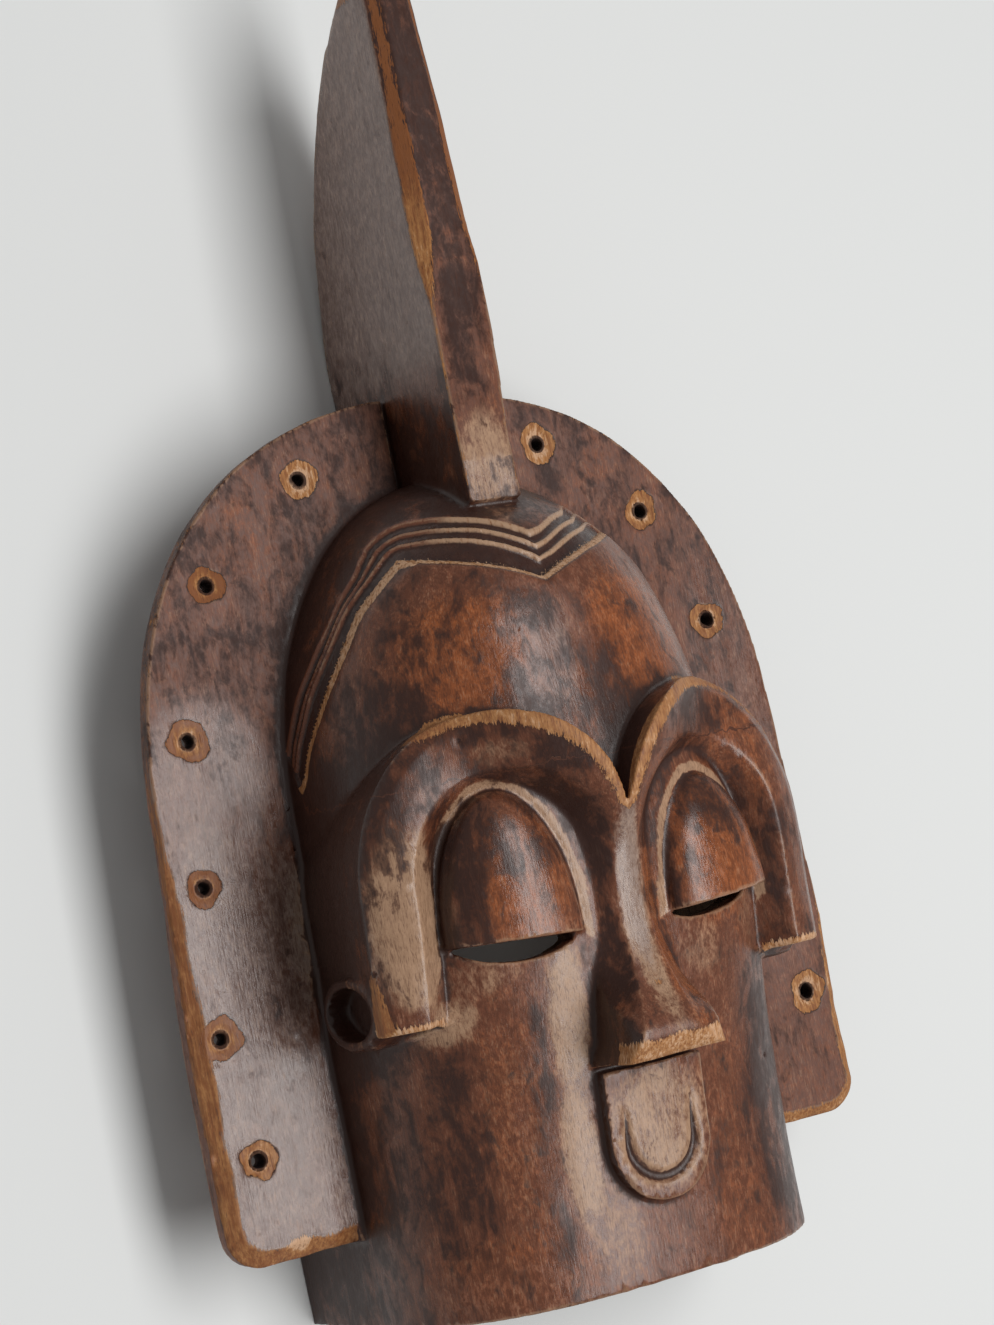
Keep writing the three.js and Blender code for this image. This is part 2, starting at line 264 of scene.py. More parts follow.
# Camera, from the photograph: its place in metres, the way it looks, its lens and its sensor in
# millimetres. Half the width of the floor, in metres.
CAMERA_PLACE = (-0.461, -0.0857, 0.9165)
CAMERA_RIGHT = (0.8671775, -0.1978764, 0.4569990)
CAMERA_DOWN = (-0.1411102, -0.9776943, -0.1555694)
CAMERA_FORWARD = (0.4775888, 0.0704192, -0.8757569)
CAMERA_LENS = 70.68
CAMERA_SENSOR = 36.0
FLOOR_HALF = 4.0


def length(label, description, value):
    return bpy.props.FloatProperty(name=label, description=description, default=value, unit="LENGTH")


def tint(label, description, value):
    return bpy.props.FloatVectorProperty(
        name=label, description=description, default=value, subtype="COLOR", size=3, min=0.0, max=1.0
    )


class MaskSizes(bpy.types.PropertyGroup):
    """Sizes of the carving that can be changed."""

    wall: length("Side wall", "Thickness of the face's sides", 0.0105)
    front_wall: length("Front wall", "Thickness behind the face", 0.013)
    collar_front: length("Collar front", "Height of the collar's front face", 0.046)
    collar_thickness: length("Collar thickness", "Thickness of the collar", 0.012)
    cord_hole: length("Cord hole", "Diameter of the collar's holes", 0.0052)
    worn_ring: length("Worn ring", "Radius of the wear around a hole", 0.0073)
    brow_chamfer: length("Brow edge", "Width of the worn edge of the brows", 0.005)
    ridge_width: length("Hair ridge", "Width of a ridge of hair", 0.0011)
    ridge_depth: length("Hair depth", "Depth of the grooves between the ridges", 0.0012)
    unevenness: length("Unevenness", "How far the knife strays", 0.0004)
    carving_step: length("Carving step", "Grid that the solid is rebuilt on", 0.0008)
    faces_kept: bpy.props.IntProperty(
        name="Triangles", description="Triangles kept in the finished piece", default=194000, min=20000
    )


class MaskColours(bpy.types.PropertyGroup):
    """Colours of the patinated and the worn wood, linear."""

    brown: tint("Brown", "Patinated wood", (0.208, 0.069, 0.033))
    # Umber and dark go on stains, and also as painted shade in hollows, on sides away from the light and
    # inside the cord holes.
    umber: tint("Umber", "Stains between brown and dark", (0.074, 0.024, 0.012))
    dark: tint("Dark", "Streaks and hollows", (0.026, 0.008, 0.005))
    red: tint("Red brown", "Rubbed patina on the forehead and lids", (0.370, 0.103, 0.028))
    tan: tint("Tan", "Thin patina on the cheeks and brows", (0.460, 0.285, 0.175))
    # Grey brown stands for dust and for painted sheen and reflection on the collar and crest.
    dust_and_sheen: tint("Grey brown", "Dusty patina on the collar and crest", (0.310, 0.235, 0.205))
    gold: tint("Gold", "Bare wood on worn edges", (0.450, 0.205, 0.070))
    amber: tint("Amber", "Darker bare wood", (0.235, 0.080, 0.024))
    pale: tint("Pale", "Freshly rubbed wood", (0.660, 0.410, 0.250))
    raw: tint("Raw", "Rough wood of the hollow", (0.150, 0.082, 0.045))


class StageSettings(bpy.types.PropertyGroup):
    """Floor and lights."""

    floor_colour: tint("Floor", "Pale floor", (0.80, 0.81, 0.80))
    window: bpy.props.FloatVectorProperty(
        name="Window", description="Width and height of the light", size=2, default=(0.80, 2.3),
        subtype="XYZ", unit="LENGTH",
    )
    window_place: bpy.props.FloatVectorProperty(
        name="Window place", description="Middle of the light", size=3, default=(0.47, -0.20, 1.89),
        subtype="XYZ", unit="LENGTH",
    )
    window_power: bpy.props.FloatProperty(
        name="Window light", description="Power of the light", default=32.5, unit="POWER"
    )
    sky: bpy.props.FloatProperty(
        name="Sky", description="Strength of the even light", default=0.25, min=0.0
    )


def smooth(low, high, value):
    """0 below low, 1 above high, and a smooth step between."""
    part = np.clip((value - low) / (high - low), 0.0, 1.0)
    return part * part * (3.0 - 2.0 * part)


def mix(start, end, part):
    return start + (end - start) * part


def along(stations, at):
    """Smooth curve through stations (at, value), with tangents from the neighbouring stations."""
    knots, values = np.array(stations, float).T
    last = len(knots) - 1
    before = np.maximum(np.arange(last + 1) - 1, 0)
    after = np.minimum(np.arange(last + 1) + 1, last)
    slopes = (values[after] - values[before]) / (knots[after] - knots[before])
    at = np.asarray(at, float)
    i = np.clip(np.searchsorted(knots, at, side="right") - 1, 0, last - 1)
    width = knots[i + 1] - knots[i]
    t = np.clip((at - knots[i]) / width, 0.0, 1.0)
    rise = (values[i + 1] - values[i]) * t * t * (3.0 - 2.0 * t)
    return values[i] + rise + width * t * (1.0 - t) * (slopes[i] * (1.0 - t) - slopes[i + 1] * t)


def lattice(i, j, k, seed):
    """Random values from 0 to 1 on the points of a whole-number lattice."""
    mask = 0xFFFFFFFF
    value = (i * 73856093 ^ j * 19349663 ^ k * 83492791 ^ (seed + 7) * 40503) & mask
    value = ((value ^ (value >> 13)) * 1274126177) & mask
    value = ((value ^ (value >> 15)) * 668265263) & mask
    return ((value ^ (value >> 16)) & 0xFFFF) / 65535.0


def noise(points, size, seed=0):
    """Smooth noise from -1 to 1, with features of the given size along each axis."""
    scaled = points / np.asarray(size, float)
    base = np.floor(scaled).astype(np.int64)
    part = scaled - base
    part = part * part * (3.0 - 2.0 * part)
    total = np.zeros(len(points))
    for corner in itertools.product((0, 1), repeat=3):
        weight = np.prod(np.where(corner, part, 1.0 - part), axis=1)
        total += weight * lattice(*(base + corner).T, seed)
    return total * 2.0 - 1.0


def half_width(y):
    """Half width of the face at the collar's front plane."""
    jaw = mix(CHIN_HALF, TEMPLE_HALF, smooth(90, TEMPLE_Y, y))
    dome = TEMPLE_HALF * np.sqrt(np.maximum(0.0, 1.0 - ((y - TEMPLE_Y) / DOME_RISE) ** 2))
    return np.where(y <= TEMPLE_Y, jaw, dome)


def hair_top_y(x):
    """The hairline over the forehead, with its point on the middle line."""
    return along(HAIR_TOP, np.abs(x))


def arch(curve, u, spread=0.0):
    """A point on one of the brow's arches: straight up its outer side, then round over the eye."""
    centre, reach, rise = curve
    up = np.minimum(u / BROW_STRAIGHT, 1.0)
    turn = np.maximum(u - BROW_STRAIGHT, 0.0) / (1.0 - BROW_STRAIGHT) * BROW_TURN
    x = centre + reach * np.cos(turn) + spread * (1.0 - up)
    return x, mix(BROW_END_Y, BROW_SPRING_Y, up) + rise * np.sin(turn)


def arch_distance(curve, x, y):
    """Distance in from an arch's line, below 0 outside it."""
    centre, reach, rise = curve
    dx = np.abs(x) - centre
    dy = np.maximum(y - BROW_SPRING_Y, 0.0)
    ratio = np.sqrt((dx / reach) ** 2 + (dy / rise) ** 2) + 1e-9
    slope = np.sqrt((dx / reach**2) ** 2 + (dy / rise**2) ** 2) / ratio + 1e-9
    return (1.0 - ratio) / slope


def brow_edge_z(x, y):
    """Height of the brow's outer edge."""
    crown = mix(*BROW_EDGE_Z, smooth(26, 52, x)) + 0.06 * np.maximum(0, 26 - x)
    return crown - 0.3 * np.maximum(0, x - 70) - 0.08 * np.maximum(0, 155 - y)


def brow_ridge_z(x, y):
    """Height of the ridge where the brow's front face meets its inner slope."""
    crown = mix(*BROW_RIDGE_Z, smooth(24, 46, x))
    root = BROW_ROOT_DROP * (1 - smooth(142, 176, y)) * (1 - smooth(6, 30, x))
    return crown - root - 0.14 * np.maximum(0, 150 - y) * smooth(30, 60, x)


def bezier(curves, count):
    """Points along a chain of cubic curves."""
    t = np.linspace(0, 1, count)[:, None]
    parts = []
    for a, b, c, d in np.array(curves, float):
        parts.append(a * (1 - t) ** 3 + 3 * b * t * (1 - t) ** 2 + 3 * c * t * t * (1 - t) + d * t**3)
    return np.concatenate(parts)


CREST_BACK_LINE = bezier(CREST_BACK, 40)
CREST_FRONT_LINE = bezier(CREST_FRONT, 40)[::-1]


def crest_half(y, left):
    """Half width of the crest on one side of the middle line."""
    lean = np.where(left, 0.0, CREST_LEAN * smooth(296, 350, y))
    return mix(CREST_HALF, CREST_TIP_HALF, smooth(400, HEIGHT, y)) + lean


def crest_cut(y, left):
    """Width of the chamfer on the crest's front edges."""
    cut = np.where(left, smooth(350, 385, y), 0.85 * smooth(362, 400, y))
    room = np.interp(y, *CREST_FRONT_LINE.T) - np.interp(y, *CREST_BACK_LINE.T)
    return np.minimum(cut * CREST_CHAMFER, room * 0.3)


def block(cuts, place):
    """A closed box, cut into a grid, whose points (u, v, w) from 0 to 1 are moved to place(u, v, w)."""
    bm = bmesh.new()
    bmesh.ops.create_cube(bm, size=1.0)
    for axis, count in enumerate(cuts):
        lengthwise = [
            edge for edge in bm.edges if abs(edge.verts[0].co[axis] - edge.verts[1].co[axis]) > 0.5
        ]
        if count > 1:
            bmesh.ops.subdivide_edges(bm, edges=lengthwise, cuts=count - 1, use_grid_fill=True)
    shares = np.array([vert.co for vert in bm.verts]) + 0.5
    placed = np.stack(np.broadcast_arrays(*place(*shares.T)), axis=1)
    for vert, point in zip(bm.verts, placed):
        vert.co = point
    bmesh.ops.remove_doubles(bm, verts=bm.verts, dist=0.002)
    return bm


def mirrored(bm):
    """The same shape on the other side of the middle line, and this one."""
    copy = bm.copy()
    bmesh.ops.scale(copy, vec=(-1, 1, 1), verts=copy.verts)
    bmesh.ops.reverse_faces(copy, faces=copy.faces)
    return [bm, copy]


class Carver:
    """Makes the mask's solids from the sizes in the panel, in millimetres."""

    def __init__(self, sizes):
        self.sizes = sizes
        self.collar_front = sizes.collar_front / MM

    def size(self, name):
        return getattr(self.sizes, name) / MM

    def face_z(self, x, y):
        """Height of the plain face at a point, before the carving is added."""
        side = np.minimum(np.abs(x) / np.maximum(half_width(y), 1e-6), 1.0)
        roundness = along(ROUNDNESS, y)
        rise = along(PROFILE, y) - self.collar_front
        return self.collar_front + rise * (1 - side**roundness) ** (1 / roundness)

    def face(self, cuts, inset=0.0, front_inset=0.0, below=0.0):
        """The face as a closed trough-shaped form, drawn in by the insets for its hollow."""

        def place(u, v, w):
            turn = np.clip(v * 2 - 1, 0, 1) * DOME_STOP
            y = np.where(v <= 0.5, mix(-below, TEMPLE_Y, v * 2), TEMPLE_Y + DOME_RISE * np.sin(turn))
            roundness = along(ROUNDNESS, y)
            angle = np.pi * (1 - u)
            across = np.sign(np.cos(angle)) * np.abs(np.cos(angle)) ** (2 / roundness)
            over = np.clip(np.sin(angle), 0, 1) ** (2 / roundness)
            half = half_width(y) * (TEMPLE_HALF - inset) / TEMPLE_HALF
            rise = along(PROFILE, y) - self.collar_front
            flare = np.where(w == 0, RIM_FLARE, 0.0)
            x = (half + flare * np.cos(turn)) * across
            top = self.collar_front + np.maximum(rise - front_inset, 1) * over
            return x, y + (0.6 * flare - inset) * np.sin(turn), np.where(w == 0, -below, top)

        return block(cuts, place)

    def forehead(self):
        """The raised forehead, with a bevel along the hairline that is wide at its corners."""

        def place(u, v, w):
            side_y = mix(FOREHEAD_LOW_Y, HAIR_CORNER_Y, v)
            x = -np.cos(np.pi * u) * along(HAIR_SIDE, side_y)
            share = (side_y - FOREHEAD_LOW_Y) / (HAIR_CORNER_Y - FOREHEAD_LOW_Y)
            middle, half, rise = FOREHEAD_ARCH
            low_y = FOREHEAD_LOW_Y + rise * np.sqrt(np.clip(1 - ((np.abs(x) - middle) / half) ** 2, 0, 1))
            y = low_y + share * (hair_top_y(x) - low_y)
            bevel = np.minimum(
                (along(HAIR_SIDE, y) - np.abs(x)) / along(HAIR_BEVEL, y), (hair_top_y(x) - y) / 2.6
            )
            lift = FOREHEAD_LIFT * (0.15 + 0.85 * np.clip(bevel, 0, 1))
            return x, y, np.where(w == 0, self.collar_front + 1, self.face_z(x, y) + lift)

        return block((120, 90, 1), place)

    def brow_lines(self, t):
        """Foot, ridge, middle, chamfer and outer edge of a brow, from its lower end round to the nose."""
        over = np.clip(t / BROW_SHARE, 0, 1)
        down = np.clip((t - BROW_SHARE) / (1 - BROW_SHARE), 0, 1)
        foot_x, foot_y = arch(BROW_FOOT, over, 1.5)
        ridge_x, ridge_y = arch(BROW_RIDGE, over, 1.5)
        edge_x, edge_y = arch(BROW_OUTER, over)
        foot = np.stack([foot_x, foot_y, self.face_z(foot_x, foot_y) - 1.5])
        ridge = np.stack([ridge_x, ridge_y, brow_ridge_z(ridge_x, ridge_y)])
        edge = np.stack([edge_x, edge_y, brow_edge_z(edge_x, edge_y)])
        reach = np.linalg.norm(edge - ridge, axis=0)
        start = mix(edge, ridge, self.size("brow_chamfer") / reach)
        start[2] += 1.2 * smooth(2, 16, np.abs(start[0]))
        edge[2] -= 1.2
        middle = mix(ridge, start, 0.5)
        middle[2] += 0.5
        y = mix(157, 112, down)
        root_y = mix(164, 112, down)
        hidden = 0.4 - 1.2 * smooth(138, 122, y)
        nose_foot = np.stack([along(NOSE_FOOT, y), y, along(NOSE_FOOT_Z, y) + hidden])
        lines = [np.where(t < BROW_SHARE, foot, nose_foot)]
        for line, share in ((ridge, 1.0), (middle, 0.55), (start, 0.1), (edge, -0.25)):
            level_y = mix(root_y, y, max(share, 0))
            front = np.stack([NOSE_ROOT * share + 0 * y, level_y, along(NOSE_FRONT_Z, level_y) + hidden])
            lines.append(np.where(t < BROW_SHARE, line, front))
        return lines

    def brow(self):
        """One brow: inner slope, ridge, front face, worn chamfer and the way it runs down into the nose."""
        shares = np.linspace(0, 1, 260)
        reach = 45
        kernels = []
        for spread in (7.0, 7.0, 15.0):
            kernel = np.exp(-0.5 * (np.arange(-reach, reach + 1) / spread) ** 2)
            kernels.append(kernel / kernel.sum())
        bend = np.exp(-(((shares - BROW_SHARE) / 0.075) ** 2))
        soft_lines = []
        for line in self.brow_lines(shares):
            padded = np.pad(line, ((0, 0), (reach, reach)), mode="edge")
            soft = np.stack([np.convolve(row, kernel, "valid") for row, kernel in zip(padded, kernels)])
            blend = np.stack([bend, bend, np.maximum(bend, smooth(0.06, 0.2, shares))])
            soft_lines.append(mix(line, soft, np.minimum(blend, smooth(1.0, 0.94, shares))))

        def place(u, v, w):
            step = np.rint(v * 4).astype(int)
            t = 1 - u
            x, y, z = [
                np.choose(step, [np.interp(t, shares, line[axis]) for line in soft_lines])
                for axis in range(3)
            ]
            undercut = BROW_UNDERCUT * smooth(0.25, 0.8, v) * (t < 0.45)
            return np.where(w == 0, x - undercut, x), y, np.where(w == 0, self.collar_front - 4, z)

        return block((200, 4, 1), place)

    def nose(self):
        """Front face, sloping flanks and steep sides, with a worn chamfer along the bottom."""

        def place(u, v, w):
            y = mix(NOSE_BOTTOM_Y, NOSE_TOP_Y, v)
            side = 2 * u - 1
            front = np.where(side < 0, along(NOSE_LEFT, y), along(NOSE_RIGHT, y))
            foot = along(NOSE_FOOT, y)
            flank = np.clip(np.abs(side) * 2 - 1, 0, 1)
            reach = np.where(np.abs(side) <= 0.5, front * np.abs(side) * 2, mix(front, foot, flank))
            z = mix(along(NOSE_FRONT_Z, y), along(NOSE_FOOT_Z, y), flank) - 0.5 * (1 - flank) * side * side
            low = self.collar_front + 20
            x = np.where(w == 0, (foot + 2.5) * np.abs(side), reach) * np.sign(side)
            return x, y, np.where(w == 0, low, z)

        return block((12, 80, 1), place)

    def lid(self, height):
        """Half a dome with a flat lower edge."""
        bm = bmesh.new()
        bmesh.ops.create_uvsphere(bm, u_segments=96, v_segments=48, radius=1.0)
        bmesh.ops.rotate(bm, verts=bm.verts, matrix=Matrix.Rotation(math.pi / 2, 3, "X"))
        for vert in bm.verts:
            across, up, out = vert.co
            z = LID_Z + LID_TILT * LID_HALF * across + LID_BULGE * math.copysign(abs(out) ** 0.72, out)
            vert.co = (LID_X + LID_HALF * across, LID_Y + height * up, z)
        cut = bmesh.ops.bisect_plane(
            bm,
            geom=[*bm.verts, *bm.edges, *bm.faces],
            plane_co=(LID_X, LID_Y, LID_Z),
            plane_no=(LID_RISE, -1, 0),
            clear_outer=True,
        )
        rim = [item for item in cut["geom_cut"] if isinstance(item, bmesh.types.BMEdge)]
        bmesh.ops.contextual_create(bm, geom=rim)
        bmesh.ops.recalc_face_normals(bm, faces=bm.faces)
        return bm

    def slit(self, depth, shift=0.0):
        """The opening under a lid, straight above and curved below."""

        def place(u, v, w):
            across = (2 * u - 1) * SLIT_HALF
            top = LID_Y + LID_RISE * across
            low = depth * (1 - np.abs(2 * u - 1) ** 2.6) * (1 - v)
            return LID_X + shift + across, top - low, mix(60, 160, w)

        return block((40, 1, 1), place)

    def mouth(self):
        """The raised pad, straight above and round below."""

        def place(u, v, w):
            y = mix(MOUTH_BOTTOM_Y, MOUTH_TOP_Y, v**1.5)
            low = np.clip((MOUTH_BOTTOM_Y + MOUTH_ROUND - y) / MOUTH_ROUND, 0, 1)
            side = np.sin((u - 0.5) * np.pi)
            x = MOUTH_X + side * MOUTH_HALF * np.sqrt(1 - low * low)
            return x, y, np.where(w == 0, self.collar_front + 40, self.face_z(x, y) + MOUTH_LIFT)

        return block((36, 48, 1), place)

    def ear(self, hollow=False):
        """A short barrel through the cheek, or the hollow in its outer end."""
        rim = 2 * EAR_RIM if hollow else 0.0
        out = EAR_OUT + (EAR_LENGTH / 2 - EAR_HOLLOW if hollow else -EAR_LENGTH / 2)
        bm = bmesh.new()
        bmesh.ops.create_cone(
            bm, cap_ends=True, segments=64, radius1=0.5, radius2=0.5, depth=EAR_LENGTH
        )
        bmesh.ops.rotate(bm, verts=bm.verts, matrix=Matrix.Rotation(math.pi / 2, 3, "Y"))
        bmesh.ops.scale(bm, vec=(1, EAR_HEIGHT - rim, EAR_DEPTH - rim), verts=bm.verts)
        bmesh.ops.translate(bm, vec=(out, EAR_Y, EAR_Z), verts=bm.verts)
        return bm

    def collar(self):
        """The horseshoe plate, its outline given as a half width that changes with height."""
        thickness = self.size("collar_thickness")

        def place(u, v, w):
            corner = np.pi / 2 * (np.clip(v / 0.1, 0, 1) - 1)
            turn = np.pi / 2 * np.clip((v - 0.35) / 0.65, 0, 1)
            power = 2 / COLLAR_SQUARENESS
            corner_y = COLLAR_BOTTOM_Y + COLLAR_CORNER * (1 + np.sin(corner))
            y = mix(corner_y, COLLAR_SPRING_Y, np.clip((v - 0.1) / 0.25, 0, 1))
            y = y + COLLAR_RISE * np.sin(turn) ** power
            half = COLLAR_HALF - COLLAR_CORNER * (1 - np.cos(corner))
            straight = np.clip((y - COLLAR_STRAIGHT_Y) / (COLLAR_SPRING_Y - COLLAR_STRAIGHT_Y), 0, 1)
            half = half - (COLLAR_HALF - COLLAR_TOP_HALF) * straight
            half = half * np.clip(np.cos(turn), 0, 1) ** power
            inset = np.where(w == 0, COLLAR_BACK_INSET * smooth(130, 215, y) / COLLAR_HALF, 0)
            return (2 * u - 1) * half * (1 - inset), y, self.collar_front - thickness * (1 - w)

        return block((60, 150, 3), place)

    def cord_hole(self, x, y):
        """A drill through the collar."""
        bm = bmesh.new()
        radius = self.size("cord_hole") / 2
        middle = self.collar_front - self.size("collar_thickness") / 2
        bmesh.ops.create_cone(bm, cap_ends=True, segments=32, radius1=radius, radius2=radius, depth=40)
        bmesh.ops.translate(bm, vec=(x, y, middle), verts=bm.verts)
        return bm

    def crest(self):
        """The tall blade, with its two front edges chamfered towards the tip."""

        def place(u, v, w):
            y = mix(CREST_FOOT_Y + 2, HEIGHT, 1 - (1 - v) ** 1.7)
            low = np.interp(y, *CREST_BACK_LINE.T)
            high = np.interp(y, *CREST_FRONT_LINE.T)
            half = crest_half(y, u < 0.5)
            cut = crest_cut(y, u < 0.5)
            z = np.where(w == 1, high, mix(low, high - cut, np.minimum(w * 8 / 7, 1)))
            x = (2 * u - 1) * np.where(w == 1, half - cut, half)
            return x, y - 2 * w * (1 - v) ** 8, z

        return block((8, 110, 8), place)

    def notch(self):
        """The narrow gap between the collar's end and the crest, on the left."""
        bm = bmesh.new()
        bmesh.ops.create_cube(bm, size=1.0)
        bmesh.ops.scale(bm, vec=NOTCH_SIZE, verts=bm.verts)
        place = (-CREST_HALF - 1.3, NOTCH_Y, self.collar_front + 0.6)
        bmesh.ops.translate(bm, vec=place, verts=bm.verts)
        return bm


def temporary(name, shapes):
    """One object that holds several separate shapes."""
    mesh = bpy.data.meshes.new(name)
    joined = bmesh.new()
    for bm in shapes:
        bm.to_mesh(mesh)
        bm.free()
        joined.from_mesh(mesh)
    joined.to_mesh(mesh)
    joined.free()
    item = bpy.data.objects.new(name, mesh)
    bpy.context.scene.collection.objects.link(item)
    return item


def settle(item):
    """Replaces an object's mesh with what its modifiers make of it."""
    graph = bpy.context.evaluated_depsgraph_get()
    made = bpy.data.meshes.new_from_object(
        item.evaluated_get(graph), preserve_all_data_layers=True, depsgraph=graph
    )
    item.modifiers.clear()
    old = item.data
    item.data = made
    bpy.data.meshes.remove(old)


def solid_mask(carver):
    """All the solids joined, hollowed and pierced, then rebuilt as one even skin."""
    body = temporary("mask_carved", [carver.face((120, 130, 1))])
    joined = [
        [carver.forehead()], [carver.collar()], [carver.crest()], [carver.nose()], [carver.mouth()],
        mirrored(carver.brow()), mirrored(carver.lid(LID_LEFT))[1:], [carver.lid(LID_RIGHT)],
        mirrored(carver.ear()),
    ]
    hollow = carver.face((70, 80, 1), carver.size("wall"), carver.size("front_wall"), 2.0)
    cut = [
        [hollow], mirrored(carver.slit(SLIT_LEFT))[1:], [carver.slit(SLIT_RIGHT, SLIT_SHIFT)],
        mirrored(carver.ear(hollow=True)), [carver.notch()],
        [carver.cord_hole(*place) for place in CORD_HOLES],
    ]
    helpers = []
    for operation, groups in (("UNION", joined), ("DIFFERENCE", cut)):
        for shapes in groups:
            helper = temporary("mask_helper", shapes)
            modifier = body.modifiers.new("Cut", "BOOLEAN")
            modifier.operation = operation
            modifier.solver = "MANIFOLD"
            modifier.object = helper
            helpers.append(helper)
    rebuild = body.modifiers.new("Rebuild", "REMESH")
    rebuild.mode = "VOXEL"
    rebuild.voxel_size = carver.size("carving_step")
    soften = body.modifiers.new("Soften", "SMOOTH")
    soften.factor = 0.5
    soften.iterations = 2
    settle(body)
    for helper in helpers:
        bpy.data.meshes.remove(helper.data)
    return body


def rows(items, name):
    """The three values that each item of a mesh has under a name, one row for each item."""
    values = np.empty(len(items) * 3, np.float32)
    items.foreach_get(name, values)
    return values.reshape(-1, 3).astype(float)


def edges_of(mesh):
    """The two points of each edge."""
    edges = np.empty(len(mesh.edges) * 2, np.int32)
    mesh.edges.foreach_get("vertices", edges)
    return edges.reshape(-1, 2)


def averaged(values, edges, rounds):
    """Values on the points, spread to their neighbours a number of times."""
    count = len(values)
    a, b = edges.T
    links = np.bincount(edges.ravel(), minlength=count) + 1.0
    columns = np.atleast_2d(values.T).copy()
    for _ in range(rounds):
        for column in columns:
            column += np.bincount(a, column[b], count) + np.bincount(b, column[a], count)
            column /= links
    return columns.T.reshape(values.shape)


class Surface:
    """Distances and places on the mask's skin, in millimetres, that the carving and the wear follow."""

    def __init__(self, points, normals, edges, carver):
        self.points = points
        self.normals = normals
        self.edges = edges
        self.carver = carver
        self.x, self.y, self.z = points.T
        self.side = np.abs(self.x)
        self.left = self.x < 0
        self.facing = normals[:, 2]
        self.front = smooth(0.05, 0.4, self.facing)
        self.face_level = carver.face_z(self.x, self.y)
        self.inside = self.find_inside()
        self.hair, self.band, self.gap, self.way = self.find_hair()
        self.collar_in = self.find_collar_edge()
        self.collar = self.find_collar()
        self.hole, self.hole_index = self.find_cord_hole()
        self.ring = self.find_ring()
        self.on_mouth = (self.z > 108) & (self.y < 72) & (self.side < 24)
        self.on_crest = (self.y > 300) & (self.side < 14.5)

    def find_inside(self):
        """1 in the hollow behind the face."""
        half = half_width(self.y) - self.carver.size("wall") * 0.5
        under = self.face_level - self.carver.size("front_wall") * 0.5
        return ((self.side < half) & (self.z < under) & (self.y < 297)).astype(float)

    def hairline(self):
        """The hairline from the temple up to the corner and along to the point in the middle."""
        side_y = np.linspace(195, HAIR_CORNER_Y, 70)
        top_x = np.linspace(HAIR_CORNER_X, 0, 50)[1:]
        x = np.concatenate([along(HAIR_SIDE, side_y), top_x])
        y = np.concatenate([side_y, hair_top_y(top_x)])
        return np.stack([x, y, self.carver.face_z(x, y)], axis=1)

    def find_hair(self):
        """Distance out from the hairline, place between the ridges, their spacing, and way along."""
        line = self.hairline()
        steps = np.diff(line, axis=0)
        spans = np.linalg.norm(steps, axis=1)
        starts = np.concatenate([[0], np.cumsum(spans)[:-1]])
        near = np.flatnonzero((self.y > 185) & (self.y < 300) & (self.z > 40) & (self.inside == 0))
        folded = self.points[near]
        across = np.abs(folded[:, 0])
        aside = RIDGE_SHIFT * smooth(253, 262, folded[:, 1]) * smooth(50, 24, across)
        folded[:, 0] = np.abs(folded[:, 0] - aside)
        distance = np.full(len(near), 99.0)
        way = np.zeros(len(near))
        for start, step, span, first in zip(line, steps, spans, starts):
            offset = folded - start
            share = np.clip(offset @ step / span**2, 0, 1)
            apart = np.linalg.norm(offset - share[:, None] * step, axis=1)
            closer = apart < distance
            distance[closer] = apart[closer]
            way[closer] = (first + share * span)[closer]
        way *= HAIR_WAY / (starts[-1] + spans[-1])
        x, y = self.points[near, :2].T
        panel = (np.abs(x) < along(HAIR_SIDE, y)) & (y < hair_top_y(x))
        signed = np.where(panel, -distance, distance)
        closeness = mix(1, 0.85, smooth(0, 10, x) * smooth(95, 110, way))
        marks = [np.zeros(len(near))] + [along(ridge, way) * closeness for ridge in HAIR_RIDGES]
        place = signed / marks[1]
        gap = marks[1].copy()
        for index in (1, 2):
            beyond = signed > marks[index]
            width = marks[index + 1] - marks[index]
            place[beyond] = (index + (signed - marks[index]) / width)[beyond]
            gap[beyond] = width[beyond]
        below = (way < 0.8) & (signed > 0)
        place[below] = 9.0
        found = []
        for values, elsewhere in ((signed, 99.0), (np.clip(place, -3, 9), 9.0), (gap, 5.0), (way, 0.0)):
            everywhere = np.full(len(self.points), elsewhere)
            everywhere[near] = values
            found.append(everywhere)
        return found

    def from_groove(self):
        """Distance from the middle of the groove in the mouth, less its half width there."""
        x = self.x - MOUTH_X
        bend_y = GROOVE_BOTTOM_Y + GROOVE_HALF
        radius = np.hypot(x, (self.y - bend_y) * GROOVE_HALF / (bend_y - GROOVE_BOTTOM_Y))
        line = np.where(self.y < bend_y, np.abs(radius - GROOVE_HALF), np.abs(np.abs(x) - GROOVE_HALF))
        taper = 1 - smooth(GROOVE_BOTTOM_Y + 6, GROOVE_TOP_Y, self.y)
        return np.hypot(line, np.maximum(self.y - GROOVE_TOP_Y, 0)) - 0.5 - 1.6 * taper

    def from_lid(self):
        """Distance out from the outline of the lid on that side."""
        x = (self.side - LID_X) / LID_HALF
        height = np.where(self.left, LID_LEFT, LID_RIGHT)
        y = np.maximum(self.y - LID_Y, 0) / height
        ratio = np.hypot(x, y) + 1e-9
        return (ratio - 1) * ratio / (np.hypot(x / LID_HALF, y / height) + 1e-9)

